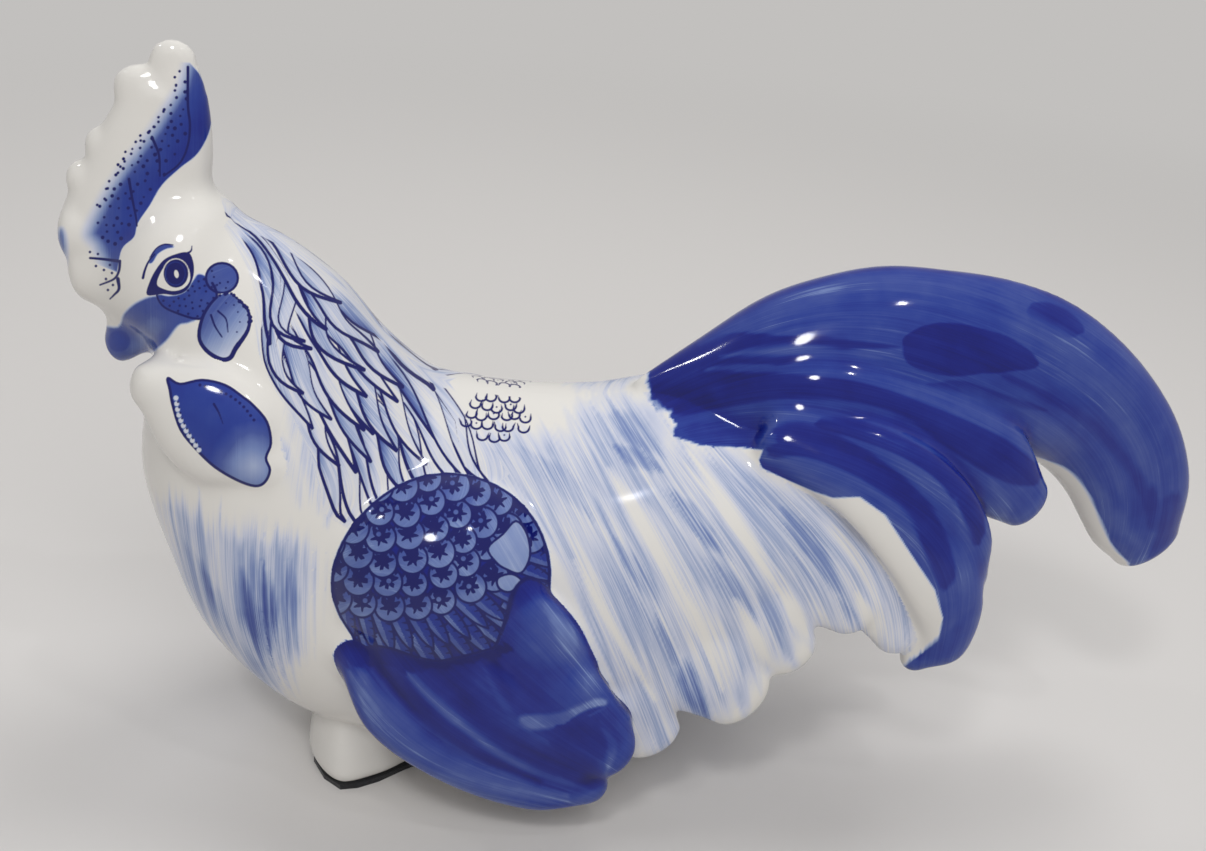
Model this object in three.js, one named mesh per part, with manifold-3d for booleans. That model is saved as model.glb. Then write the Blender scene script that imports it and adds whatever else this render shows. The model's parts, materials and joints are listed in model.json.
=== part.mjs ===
import * as THREE from "three";
import { mergeVertices } from "three/addons/utils/BufferGeometryUtils.js";
import Module from "manifold-3d";

// A porcelain rooster in millimetres, +Z up. The bird faces -X and its left side is -Y.

// Shell
const clearance = 0.3;
const shellWall = 4.5;
const drainDiameter = 14;
const neckBoreDiameter = 22;

// Body
const backHeight = 127;
const bellyHeight = 12;
const flankHalfWidth = 54;
const breastFront = -156;
const rumpEnd = 62;
const rumpRound = 12;
const skirtThickness = 9;
const skirtFeatherWidth = 32;

// Head
const neckRise = 51;
const neckHalfWidth = 24;
const headLength = 39;
const headDepth = 47;
const combHeight = 51;
const combPointWidth = 32;
const combThickness = 20;
const combThinning = 0.55;
const beakLength = 22;
const beakDepth = 15;
const beakWidth = 19;
const wattleDrop = 38;
const wattleWidth = 36;
const wattleThickness = 22;

// Wings
const wingStart = 92;
const covertDrop = 43;
const covertLength = 74;
const covertHeight = 62;
const covertRelief = 14;
const wingReach = 54;
const wingDrop = 67;
const flightWidth = 32;
const flightThickness = 11;

// Tail
const tailRise = 48;
const tailReach = 182;
const plumeWidth = 50;
const plumeDepth = 53;
const sickleWidth = 30;
const sickleThickness = 11;

// Foot
const footFront = -107;
const footRear = 14;
const footHalfWidth = 39;
const heelHalfWidth = 19;
const footHeight = 26;
const soleRound = 4;
const feltInset = 1.2;
const feltThickness = 1.6;

const wasm = await Module();
wasm.setup();

// Joining and cutting
function toSolid(geometry) {
  const bare = geometry.clone();
  bare.deleteAttribute("normal");
  bare.deleteAttribute("uv");
  const merged = mergeVertices(bare, 1e-5);
  return new wasm.Manifold(new wasm.Mesh({
    numProp: 3,
    vertProperties: new Float32Array(merged.attributes.position.array),
    triVerts: new Uint32Array(merged.index.array),
  }));
}

function toGeometry(solid) {
  const mesh = solid.getMesh();
  const geometry = new THREE.BufferGeometry();
  geometry.setAttribute("position", new THREE.BufferAttribute(mesh.vertProperties, 3));
  geometry.setIndex(new THREE.BufferAttribute(mesh.triVerts, 1));
  geometry.computeVertexNormals();
  return geometry;
}

const fuse = (...solids) => solids.reduce((whole, solid) => whole.add(solid));
const cut = (solid, ...tools) => tools.reduce((rest, tool) => rest.subtract(tool), solid);

// The largest of a cut piece's bodies, without the slivers beside it
function mainBody(solid) {
  const bodies = solid.decompose();
  return bodies.sort((a, b) => b.volume() - a.volume())[0];
}

// Side-view points in shares of a length and a height from an origin
const grid = (x, z, length, height) => (u, v) => [x + u * length, z + v * height];

// One section of a loft across the bird, from its upper and lower points in side view
function section(top, bottom, halfWidth, { widest = 0.5, topPower = 2, bottomPower = 2 } = {}) {
  const upper = new THREE.Vector3(top[0], 0, top[1]);
  const lower = new THREE.Vector3(bottom[0], 0, bottom[1]);
  const centre = lower.clone().lerp(upper, widest);
  return {
    centre,
    across: new THREE.Vector3(0, halfWidth, 0),
    up: upper.clone().sub(centre),
    down: lower.clone().sub(centre),
    powers: new THREE.Vector3(topPower, bottomPower, 0),
  };
}

// The sections of a feather along its quill, with widths in shares of its full width
function featherSections(quill, widths, { width, thickness, face }) {
  const curve = new THREE.CatmullRomCurve3(quill.map((point) => new THREE.Vector3(...point)));
  const outward = new THREE.Vector3(...face).normalize();
  return widths.map((share, i) => {
    const t = i / (widths.length - 1);
    const halfWidth = (share * width) / 2;
    const along = curve.getTangent(t);
    const across = new THREE.Vector3().crossVectors(outward, along).normalize();
    const up = new THREE.Vector3().crossVectors(along, across).normalize();
    const half = Math.min(thickness / 2, halfWidth);
    return {
      centre: curve.getPoint(t),
      across: across.multiplyScalar(halfWidth),
      up: up.clone().multiplyScalar(half),
      down: up.clone().multiplyScalar(-half),
      powers: new THREE.Vector3(2, 2, 0),
    };
  });
}

function smooth(vectors) {
  return new THREE.CatmullRomCurve3(vectors, false, "catmullrom", 0.5);
}

const lengthened = (vector, extra) => vector.clone().setLength(vector.length() + extra);
const superellipse = (value, power) => Math.sign(value) * Math.abs(value) ** (2 / power);

// A closed loft through its sections, with round ends where they are asked for
function loft(sections, { rings, sides, roundStart = 0, roundEnd = 0, grow = 0 }) {
  const centre = smooth(sections.map((s) => s.centre));
  const across = smooth(sections.map((s) => lengthened(s.across, grow)));
  const up = smooth(sections.map((s) => lengthened(s.up, grow)));
  const down = smooth(sections.map((s) => lengthened(s.down, grow)));
  const powers = smooth(sections.map((s) => s.powers));
  const positions = [];
  const indices = [];

  function addRing(t, shift, scale) {
    const middle = centre.getPoint(t).add(shift);
    const side = across.getPoint(t);
    const top = up.getPoint(t);
    const bottom = down.getPoint(t);
    const power = powers.getPoint(t);
    for (let i = 0; i < sides; i += 1) {
      const angle = (i / sides) * 2 * Math.PI;
      const sine = Math.sin(angle);
      const rise = sine >= 0 ? top : bottom;
      const exponent = sine >= 0 ? power.x : power.y;
      const point = middle.clone();
      point.addScaledVector(side, superellipse(Math.cos(angle), exponent) * scale);
      point.addScaledVector(rise, Math.abs(superellipse(sine, exponent)) * scale);
      positions.push(point.x, point.y, point.z);
    }
  }

  function endShift(t, sign, length) {
    return centre.getTangent(t).multiplyScalar(sign * length);
  }

  const roundSteps = 2;
  const capRings = (length) => (length > 0 ? roundSteps : 0);
  for (let i = capRings(roundStart); i > 0; i -= 1) {
    const angle = (i / (roundSteps + 1)) * (Math.PI / 2);
    addRing(0, endShift(0, -1, (roundStart + grow) * Math.sin(angle)), Math.cos(angle));
  }
  for (let i = 0; i < rings; i += 1) {
    const t = i / (rings - 1);
    const flatStart = i === 0 && roundStart === 0;
    const flatEnd = i === rings - 1 && roundEnd === 0;
    const shift = flatStart ? endShift(0, -1, grow) : flatEnd ? endShift(1, 1, grow) : new THREE.Vector3();
    addRing(t, shift, 1);
  }
  for (let i = 1; i <= capRings(roundEnd); i += 1) {
    const angle = (i / (roundSteps + 1)) * (Math.PI / 2);
    addRing(1, endShift(1, 1, (roundEnd + grow) * Math.sin(angle)), Math.cos(angle));
  }

  const ringCount = positions.length / 3 / sides;
  for (let r = 0; r < ringCount - 1; r += 1) {
    for (let i = 0; i < sides; i += 1) {
      const next = (i + 1) % sides;
      const a = r * sides + i;
      const b = r * sides + next;
      indices.push(a, b, a + sides, b, b + sides, a + sides);
    }
  }
  const startPole = positions.length / 3;
  const first = centre.getPoint(0).add(endShift(0, -1, roundStart + grow));
  positions.push(first.x, first.y, first.z);
  const endPole = startPole + 1;
  const last = centre.getPoint(1).add(endShift(1, 1, roundEnd + grow));
  positions.push(last.x, last.y, last.z);
  const lastRing = (ringCount - 1) * sides;
  for (let i = 0; i < sides; i += 1) {
    const next = (i + 1) % sides;
    indices.push(startPole, next, i);
    indices.push(endPole, lastRing + i, lastRing + next);
  }

  const geometry = new THREE.BufferGeometry();
  geometry.setAttribute("position", new THREE.Float32BufferAttribute(positions, 3));
  geometry.setIndex(indices);
  const solid = toSolid(geometry);
  return solid.volume() > 0 ? solid : toSolid(turnedInsideOut(geometry));
}

function turnedInsideOut(geometry) {
  const flipped = geometry.clone();
  const index = flipped.index.array;
  for (let i = 0; i < index.length; i += 3) {
    [index[i], index[i + 1]] = [index[i + 1], index[i]];
  }
  return flipped;
}

function mirrored(solid) {
  const geometry = toGeometry(solid);
  geometry.scale(1, -1, 1);
  return toSolid(turnedInsideOut(geometry));
}

// A round bore from one point to another
function bore(from, to, diameter) {
  const start = new THREE.Vector3(...from);
  const end = new THREE.Vector3(...to);
  const way = end.clone().sub(start);
  const geometry = new THREE.CylinderGeometry(diameter / 2, diameter / 2, way.length(), 20);
  geometry.applyQuaternion(new THREE.Quaternion().setFromUnitVectors(
    new THREE.Vector3(0, 1, 0), way.clone().normalize(),
  ));
  geometry.translate(...start.add(end).multiplyScalar(0.5).toArray());
  return toSolid(geometry);
}

// Body casting, from the neck seam to the rump
const bodyLength = rumpEnd - breastFront;
const onBody = grid(breastFront, bellyHeight, bodyLength, backHeight - bellyHeight);
const onNeck = grid(breastFront, backHeight, bodyLength, neckRise);
const neckToFlank = (share) => THREE.MathUtils.lerp(neckHalfWidth, flankHalfWidth, share);
function bodySections() {
  const w = flankHalfWidth;
  return [
    section(onNeck(0.133, 1), onNeck(0.009, 0.078), neckHalfWidth),
    section(onNeck(0.197, 0.863), onBody(-0.009, 0.904), neckToFlank(0.15)),
    section(onNeck(0.266, 0.627), onBody(-0.014, 0.748), neckToFlank(0.42)),
    section(onNeck(0.326, 0.314), onBody(0.014, 0.548), neckToFlank(0.68)),
    section(onNeck(0.394, 0.078), onBody(0.073, 0.278), neckToFlank(0.87), { widest: 0.48 }),
    section(onNeck(0.463, 0.02), onBody(0.202, 0.043), neckToFlank(0.96), { widest: 0.46 }),
    section(onBody(0.541, 1), onBody(0.385, 0), w, { widest: 0.46, bottomPower: 2.4 }),
    section(onBody(0.633, 1.009), onBody(0.601, 0.009), w, { widest: 0.46, bottomPower: 2.6 }),
    section(onBody(0.734, 1.052), onBody(0.771, 0.122), w * 0.96, { widest: 0.45, bottomPower: 2.6 }),
    section(onBody(0.826, 1.052), onBody(0.89, 0.278), w * 0.88, { bottomPower: 2.6 }),
    section(onBody(0.917, 1.035), onBody(0.991, 0.417), w * 0.78, { bottomPower: 2.4 }),
    section(onBody(1.018, 0.983), onBody(1.064, 0.504), w * 0.62),
  ];
}

function body(grow) {
  return loft(bodySections(), { rings: 23, sides: 28, roundEnd: rumpRound, grow });
}

// The saddle feathers that hang over the thigh
function skirt(grow) {
  const onFlank = ([u, out, v]) => {
    const [x, z] = onBody(u, v);
    return [x, -flankHalfWidth * out, z];
  };
  const feathers = [
    { quill: [[0.587, 0.75, 0.704], [0.67, 0.9, 0.348], [0.725, 0.87, 0.183]], widths: [0.88, 1, 0.69] },
    { quill: [[0.679, 0.76, 0.704], [0.771, 0.885, 0.435], [0.849, 0.852, 0.313]], widths: [0.88, 1, 0.75] },
    { quill: [[0.771, 0.71, 0.757], [0.853, 0.815, 0.557], [0.913, 0.796, 0.452]], widths: [0.88, 1, 0.63] },
    { quill: [[0.835, 0.67, 0.826], [0.931, 0.76, 0.678], [1, 0.741, 0.574]], widths: [0.88, 0.94, 0.63] },
    { quill: [[0.899, 0.57, 0.861], [1.018, 0.685, 0.661], [1.073, 0.685, 0.487]], widths: [0.8, 0.88, 0.5] },
  ];
  const form = { width: skirtFeatherWidth, thickness: skirtThickness, face: [0, -1, 0.1] };
  const round = skirtFeatherWidth / 4;
  const solids = feathers.map(({ quill, widths }) => loft(
    featherSections(quill.map(onFlank), widths, form),
    { rings: 4, sides: 8, roundStart: round, roundEnd: round, grow },
  ));
  const left = fuse(...solids);
  return left.add(mirrored(left));
}

// Head casting
const [headX, headZ] = onNeck(0.133, 1);
const onHead = grid(headX, headZ, -headLength, headDepth);
function headSections() {
  const w = neckHalfWidth;
  return [
    section(onHead(0, 0), onHead(0.692, -1), w),
    section(onHead(0.231, 0.17), onHead(0.641, -0.872), w * 0.97),
    section(onHead(0.538, 0.17), onHead(0.769, -0.787), w * 0.88),
    section(onHead(0.821, 0), onHead(0.897, -0.723), w * 0.7),
    section(onHead(1, -0.255), onHead(1, -0.66), w * 0.5),
  ];
}

const headRound = headDepth / 12;
function head(grow) {
  return loft(headSections(), { rings: 9, sides: 24, roundEnd: headRound, grow });
}

// Beak
function beak(grow) {
  const [x, z] = onHead(0.462, -0.638);
  const onBeak = grid(x, z, -beakLength, beakDepth);
  const w = beakWidth / 2;
  const sections = [
    section(onBeak(0.182, 0.8), onBeak(-0.273, -0.267), w * 1.1),
    section(onBeak(0.682, 0.4), onBeak(0.227, -0.667), w * 1.05),
    section(onBeak(1, 0), onBeak(0.59, -1), w * 0.9),
    section(onBeak(1.09, -0.467), onBeak(0.818, -1.133), w * 0.6),
  ];
  return loft(sections, { rings: 7, sides: 14, roundEnd: beakDepth / 5, grow });
}

// Comb, a thick web over the skull with a fan of rounded points
function comb(grow) {
  const onComb = grid(headX, headZ, -headLength, combHeight);
  const lobes = [
    { quill: [[0.846, -0.471], [0.949, -0.157], [0.718, 0.235], [0.564, 0.667]], widths: [0.69, 1, 1, 0.63] },
    { quill: [[0.846, -0.333], [1.154, -0.333]], widths: [0.81, 0.75] },
    { quill: [[0.923, -0.137], [1.205, -0.118]], widths: [0.69, 0.63] },
    { quill: [[0.872, 0.078], [1.128, 0.176]], widths: [0.5, 0.38] },
    { quill: [[0.769, 0.235], [0.974, 0.373]], widths: [0.5, 0.38] },
    { quill: [[0.641, 0.392], [0.692, 0.725]], widths: [0.56, 0.5] },
    { quill: [[0.436, -0.078], [0.436, 0.549], [0.46, 0.87]], widths: [0.53, 0.56, 0.42] },
  ];
  const form = { width: combPointWidth, thickness: combThickness, face: [0, -1, 0] };
  const round = combThickness * 0.3;
  const solids = lobes.map(({ quill, widths }) => {
    const points = quill.map(([u, v]) => {
      const [x, z] = onComb(u, v);
      return [x, 0, z];
    });
    const sections = featherSections(points, widths, form);
    sections.forEach((s) => {
      const share = THREE.MathUtils.clamp((s.centre.z - headZ) / combHeight, 0, 1);
      s.up.multiplyScalar(1 - combThinning * share);
      s.down.multiplyScalar(1 - combThinning * share);
    });
    return loft(sections, { rings: 4, sides: 10, roundStart: round, roundEnd: round, grow });
  });
  return fuse(...solids);
}

// Wattles, round lobes that hang on both sides of the throat
function wattle(grow) {
  const [x, z] = onHead(0.513, -0.894);
  const onWattle = grid(x, z, wattleDrop, -wattleDrop);
  const points = [[0, 0, 0.1], [0.474, 0.26, 0.3], [0.842, 0.52, 0.43]].map(([u, v, out]) => {
    const [px, pz] = onWattle(u, v);
    return [px, -neckToFlank(out), pz];
  });
  const form = { width: wattleWidth, thickness: wattleThickness, face: [-0.25, -1, 0.25] };
  const round = wattleWidth * 0.22;
  const sections = featherSections(points, [0.5, 0.88, 1, 0.9, 0.5], form);
  return loft(sections, { rings: 7, sides: 16, roundStart: round, roundEnd: round, grow });
}

// Wing coverts, a raised dome on the shoulder
const covertCentre = new THREE.Vector3(breastFront + wingStart, -flankHalfWidth, backHeight - covertDrop);
function coverts(grow) {
  const geometry = new THREE.SphereGeometry(1, 22, 12);
  const depth = covertRelief * 2;
  geometry.scale(covertLength / 2 + grow, depth + grow, covertHeight / 2 + grow);
  geometry.translate(covertCentre.x, covertCentre.y - covertRelief * 0.75 + depth, covertCentre.z);
  return toSolid(geometry);
}

// Flight feathers, a fan from under the coverts to the wing tip
function flights(grow) {
  const onWing = grid(covertCentre.x, covertCentre.z, wingReach, wingDrop);
  const feathers = [
    { quill: [[0.337, 0, 0.034], [0.537, 0.2, -0.163], [0.694, 0.15, -0.343]], widths: [0.63, 0.75, 0.63] },
    { quill: [[0.378, 0, -0.2], [0.696, 0.4, -0.454], [0.954, 0.35, -0.642]], widths: [0.81, 0.88, 0.63] },
    { quill: [[0.057, 0, -0.2], [0.45, 0.45, -0.51], [1, 0.4, -0.73]], widths: [0.75, 0.8, 0.63] },
    { quill: [[-0.209, 0, -0.206], [0.2, 0.36, -0.59], [0.78, 0.36, -0.81]], widths: [0.63, 0.72, 0.63] },
    {
      quill: [
        [-0.46, -0.05, -0.31], [-0.25, 0.15, -0.6], [0.14, 0.3, -0.82], [0.57, 0.36, -0.945],
        [0.88, 0.3, -0.935],
      ],
      widths: [0.35, 0.58, 0.6, 0.56, 0.45],
    },
  ];
  const form = { width: flightWidth, thickness: flightThickness, face: [0, -1, 0.05] };
  const roundStart = flightWidth * 0.16;
  const roundEnd = flightWidth * 0.22;
  const solids = feathers.map(({ quill, widths }) => {
    const points = quill.map(([u, out, v]) => {
      const [x, z] = onWing(u, v);
      return [x, covertCentre.y - out * flightThickness, z];
    });
    return loft(featherSections(points, widths, form), { rings: 5, sides: 8, roundStart, roundEnd, grow });
  });
  return fuse(...solids);
}

// Tail plume, the arched great sickle with a narrow crest
const tailTop = backHeight + tailRise;
const onTail = grid(rumpEnd, tailTop, tailReach - rumpEnd, plumeDepth);
function plumeSections() {
  const w = plumeWidth / 2;
  const rise = grid(breastFront, backHeight, bodyLength, tailRise);
  const crest = { widest: 0.3, topPower: 1.7, bottomPower: 2.4 };
  const lobe = { widest: 0.45, topPower: 1.9, bottomPower: 2.2 };
  return [
    section(rise(0.679, 0.125), onBody(0.78, 0.843), w * 0.4, crest),
    section(rise(0.761, 0.417), onBody(0.826, 0.896), w * 0.76, crest),
    section(onTail(-0.275, -0.245), onTail(-0.217, -1.038), w * 0.94, crest),
    section(onTail(-0.133, -0.094), onTail(-0.1, -1.019), w, crest),
    section(onTail(0.025, 0), onTail(0.033, -1), w, crest),
    section(onTail(0.192, 0), onTail(0.183, -0.981), w * 0.96, crest),
    section(onTail(0.367, -0.038), onTail(0.317, -1.019), w * 0.86, crest),
    section(onTail(0.533, -0.151), onTail(0.45, -1.094), w * 0.7, crest),
    section(onTail(0.692, -0.377), onTail(0.55, -1.208), w * 0.56, lobe),
    section(onTail(0.825, -0.66), onTail(0.633, -1.377), w * 0.48, lobe),
    section(onTail(0.917, -0.943), onTail(0.7, -1.585), w * 0.42, lobe),
    section(onTail(0.975, -1.264), onTail(0.75, -1.736), w * 0.38, lobe),
    section(onTail(0.983, -1.585), onTail(0.817, -1.849), w * 0.3, lobe),
  ];
}

const plumeEnds = { roundStart: plumeDepth / 13, roundEnd: plumeDepth / 9 };
function plume(grow) {
  return loft(plumeSections(), { rings: 23, sides: 18, ...plumeEnds, grow });
}

// Side feathers of the tail, from the middle one down to the long lower sickle
const tailFeathers = {
  middle: {
    reach: plumeWidth / 2,
    quill: [
      [-0.367, 0.48, -0.774], [-0.142, 0.92, -0.679], [0.108, 1.04, -0.811], [0.325, 1, -1.019],
      [0.45, 0.88, -1.264],
    ],
    widths: [0.53, 0.87, 1, 1, 0.6],
  },
  covert: {
    reach: flankHalfWidth,
    quill: [
      [-0.217, 0.48, -0.774], [0.017, 0.63, -0.887], [0.167, 0.685, -1.132], [0.25, 0.685, -1.415],
      [0.3, 0.648, -1.642],
    ],
    widths: [0.33, 0.6, 0.73, 0.73, 0.4],
  },
  lower: {
    reach: flankHalfWidth,
    quill: [
      [-0.25, 0.55, -0.887], [-0.058, 0.7, -1.019], [0.117, 0.759, -1.34],
      [0.233, 0.759, -1.717], [0.25, 0.704, -2.057], [0.2, 0.648, -2.208],
    ],
    widths: [0.47, 0.67, 0.8, 0.8, 0.6, 0.33],
  },
};

function tailFeather({ reach, quill, widths }, grow) {
  const points = quill.map(([u, out, v]) => {
    const [x, z] = onTail(u, v);
    return [x, -reach * out, z];
  });
  const form = { width: sickleWidth, thickness: sickleThickness, face: [0, -1, 0.3] };
  const round = sickleWidth / 6;
  const sections = featherSections(points, widths, form);
  return loft(sections, { rings: 9, sides: 10, roundStart: round, roundEnd: round, grow });
}

// Foot, two broad toes in front and a narrow heel
const drainX = (footFront + footRear) / 2;
const drainBore = bore([drainX, 0, -1], [drainX, 0, backHeight / 2], drainDiameter);
function footOutline(inset) {
  const half = [
    [0, 0], [0.008, footHalfWidth * 0.63], [0.099, footHalfWidth], [0.207, footHalfWidth * 0.88],
    [0.347, heelHalfWidth * 1.15], [0.653, heelHalfWidth], [0.884, heelHalfWidth],
    [0.975, heelHalfWidth * 0.6], [1, 0],
  ].map(([u, y]) => [THREE.MathUtils.lerp(footFront, footRear, u), y]);
  const back = half.slice(1, -1).reverse().map(([px, py]) => [px, -py]);
  const closed = half.concat(back).map(([px, py]) => new THREE.Vector3(px, py, 0));
  const curve = new THREE.CatmullRomCurve3(closed, true);
  const points = curve.getPoints(closed.length * 2).slice(0, -1);
  return points.map((point, i) => {
    const before = points[(i + points.length - 1) % points.length];
    const after = points[(i + 1) % points.length];
    const along = after.clone().sub(before).normalize();
    return new THREE.Vector2(point.x + along.y * inset, point.y - along.x * inset);
  });
}

// A closed stack of foot outlines, one for each [height, inset]
function outlineStack(levels) {
  const positions = [];
  const indices = [];
  const rings = levels.map(([height, inset]) => footOutline(inset).map((p) => [p.x, p.y, height]));
  rings.forEach((ring) => ring.forEach((point) => positions.push(...point)));
  const count = rings[0].length;
  const last = (rings.length - 1) * count;
  const bottomPole = rings.length * count;
  positions.push(drainX, 0, levels[0][0]);
  positions.push(drainX, 0, levels[levels.length - 1][0]);
  for (let i = 0; i < count; i += 1) {
    const next = (i + 1) % count;
    for (let r = 0; r < rings.length - 1; r += 1) {
      const a = r * count + i;
      const b = r * count + next;
      indices.push(a, b, a + count, b, b + count, a + count);
    }
    indices.push(bottomPole, next, i);
    indices.push(bottomPole + 1, last + i, last + next);
  }
  const geometry = new THREE.BufferGeometry();
  geometry.setAttribute("position", new THREE.Float32BufferAttribute(positions, 3));
  geometry.setIndex(indices);
  const solid = toSolid(geometry);
  return solid.volume() > 0 ? solid : toSolid(turnedInsideOut(geometry));
}

const soleHeight = feltThickness + clearance;
function footCasting() {
  const r = soleRound;
  const outer = outlineStack([
    [soleHeight, r * 0.75], [soleHeight + r * 0.3, r * 0.25], [soleHeight + r, 0],
    [THREE.MathUtils.lerp(soleHeight, footHeight, 0.5), r * 0.25], [footHeight, r],
  ]);
  const inner = outlineStack([
    [soleHeight + shellWall, shellWall + r * 0.25], [footHeight + 1, shellWall + r],
  ]);
  return cut(outer, inner, drainBore, body(clearance));
}

// Bores that join the hollows of the castings
function crossBore([fromX, fromZ], [toX, toZ], diameter) {
  return bore([fromX, 0, fromZ], [toX, 0, toZ], diameter);
}
const neckBore = crossBore(onHead(0.564, -0.255), onHead(-0.051, -1.021), neckBoreDiameter);
const tailBore = crossBore(onTail(-0.183, -1.283), onTail(-0.183, -0.377), drainDiameter);

// Pieces
const bodyNear = fuse(body(clearance), skirt(clearance));
const headNear = head(clearance);
const beakNear = beak(clearance);
const plumeNear = plume(clearance);

const bodyShell = mainBody(cut(
  fuse(body(0), skirt(0)),
  loft(bodySections(), { rings: 13, sides: 12, roundEnd: rumpRound, grow: -shellWall }),
  drainBore,
  neckBore,
  tailBore,
));
const headShell = mainBody(cut(
  head(0),
  bodyNear,
  loft(headSections(), { rings: 7, sides: 12, roundEnd: headRound, grow: -shellWall }),
  neckBore,
));
const plumeShell = mainBody(cut(
  plume(0),
  bodyNear,
  loft(plumeSections(), { rings: 12, sides: 8, ...plumeEnds, grow: -shellWall }),
  tailBore,
));

const pieces = {
  body_shell: bodyShell,
  head: headShell,
  beak: mainBody(cut(beak(0), headNear, bodyNear)),
  comb: mainBody(cut(comb(0), headNear, beakNear)),
  foot: mainBody(footCasting()),
  felt_pad: outlineStack([[0, feltInset], [feltThickness, feltInset]]),
  tail_plume: plumeShell,
};

// The pieces of one side, each cut back from its neighbours
function sidePieces(side) {
  const covertsNear = side(coverts(clearance));
  const lowerNear = side(tailFeather(tailFeathers.lower, clearance));
  const covertNear = side(tailFeather(tailFeathers.covert, clearance));
  return {
    wattle: cut(side(wattle(0)), bodyNear, headNear, beakNear),
    wing_coverts: cut(side(coverts(0)), bodyNear),
    wing_flights: cut(side(flights(0)), bodyNear, covertsNear),
    lower_sickle: cut(side(tailFeather(tailFeathers.lower, 0)), bodyNear, plumeNear),
    covert_sickle: cut(side(tailFeather(tailFeathers.covert, 0)), bodyNear, plumeNear, lowerNear),
    middle_feather: cut(
      side(tailFeather(tailFeathers.middle, 0)), bodyNear, plumeNear, lowerNear, covertNear,
    ),
  };
}

Object.entries({ left: (solid) => solid, right: mirrored }).forEach(([name, side]) => {
  Object.entries(sidePieces(side)).forEach(([part, solid]) => {
    pieces[`${name}_${part}`] = mainBody(solid);
  });
});

// Glazes and felt
const whiteGlaze = { color: 0xdad6ce, roughness: 0.15 };
const paleBlueGlaze = { color: 0x9aa3c6, roughness: 0.15 };
const cobaltGlaze = { color: 0x2b3783, roughness: 0.15 };
const darkFelt = { color: 0x19191c, roughness: 0.95 };
const finishes = {
  felt_pad: darkFelt,
  beak: cobaltGlaze,
  tail_plume: cobaltGlaze,
  wattle: paleBlueGlaze,
  wing_coverts: paleBlueGlaze,
  wing_flights: cobaltGlaze,
  lower_sickle: cobaltGlaze,
  covert_sickle: cobaltGlaze,
  middle_feather: cobaltGlaze,
};

const rooster = new THREE.Group();
Object.entries(pieces).forEach(([name, solid]) => {
  const finish = finishes[name.replace(/^(left|right)_/, "")] ?? whiteGlaze;
  const material = new THREE.MeshStandardMaterial({ ...finish, metalness: 0 });
  const mesh = new THREE.Mesh(toGeometry(solid), material);
  mesh.name = name;
  rooster.add(mesh);
});

// Origin at the middle of the base
const box = new THREE.Box3().setFromObject(rooster);
const middle = box.getCenter(new THREE.Vector3());
rooster.children.forEach((mesh) => mesh.geometry.translate(-middle.x, -middle.y, -box.min.z));

export default rooster;
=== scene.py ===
import json
import math

import bmesh
import bpy
import numpy as np
from mathutils import Matrix, Vector
from mathutils.bvhtree import BVHTree


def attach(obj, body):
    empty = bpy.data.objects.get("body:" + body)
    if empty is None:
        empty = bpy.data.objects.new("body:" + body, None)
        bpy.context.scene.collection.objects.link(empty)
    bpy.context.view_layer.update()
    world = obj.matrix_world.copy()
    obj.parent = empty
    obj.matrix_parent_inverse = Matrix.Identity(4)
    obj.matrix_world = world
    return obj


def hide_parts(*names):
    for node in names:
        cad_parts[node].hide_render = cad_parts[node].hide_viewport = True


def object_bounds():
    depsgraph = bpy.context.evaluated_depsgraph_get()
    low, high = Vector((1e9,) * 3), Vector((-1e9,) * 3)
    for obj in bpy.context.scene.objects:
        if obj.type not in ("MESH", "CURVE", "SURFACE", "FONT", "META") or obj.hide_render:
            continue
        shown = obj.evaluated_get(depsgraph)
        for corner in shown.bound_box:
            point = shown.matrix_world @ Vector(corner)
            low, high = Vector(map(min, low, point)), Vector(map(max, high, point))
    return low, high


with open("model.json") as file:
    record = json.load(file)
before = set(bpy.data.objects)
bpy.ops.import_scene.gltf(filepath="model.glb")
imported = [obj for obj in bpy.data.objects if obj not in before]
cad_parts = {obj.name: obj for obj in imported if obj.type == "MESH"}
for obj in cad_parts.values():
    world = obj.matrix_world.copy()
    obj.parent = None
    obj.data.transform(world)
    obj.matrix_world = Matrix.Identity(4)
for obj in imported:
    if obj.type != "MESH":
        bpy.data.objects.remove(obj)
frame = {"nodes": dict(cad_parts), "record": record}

cad_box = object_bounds()

# Sizes are in millimetres, as in the CAD, until a mesh is made in metres.
MM = 0.001

# The casting moulds, with the CAD's own sizes
BACK_HEIGHT, BELLY_HEIGHT, FLANK_HALF = 127.0, 12.0, 54.0
BREAST_FRONT, RUMP_END, RUMP_ROUND = -156.0, 62.0, 12.0
SKIRT_THICK, SKIRT_WIDTH = 9.0, 32.0
NECK_RISE, NECK_HALF = 51.0, 24.0
HEAD_LENGTH, HEAD_DEPTH = 39.0, 47.0
COMB_HEIGHT, COMB_POINT, COMB_THICK, COMB_THINNING = 51.0, 32.0, 20.0, 0.55
BEAK_LENGTH, BEAK_DEPTH, BEAK_WIDTH = 22.0, 15.0, 19.0
WATTLE_DROP, WATTLE_WIDTH, WATTLE_THICK = 38.0, 36.0, 22.0
WING_START, COVERT_DROP, COVERT_LENGTH, COVERT_HEIGHT, COVERT_RELIEF = 92.0, 43.0, 74.0, 62.0, 14.0
WING_REACH, WING_DROP, FLIGHT_WIDTH, FLIGHT_THICK = 54.0, 67.0, 32.0, 11.0
TAIL_RISE, TAIL_REACH, PLUME_WIDTH, PLUME_DEPTH = 48.0, 182.0, 50.0, 53.0
SICKLE_WIDTH, SICKLE_THICK = 30.0, 11.0
FOOT_FRONT, FOOT_REAR, FOOT_HALF, HEEL_HALF, FOOT_HEIGHT = -107.0, 14.0, 39.0, 19.0, 26.0
SOLE_ROUND, SOLE_HEIGHT = 4.0, 1.9


# A share of a curve short enough to take its direction from
STEP = 1e-4
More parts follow.
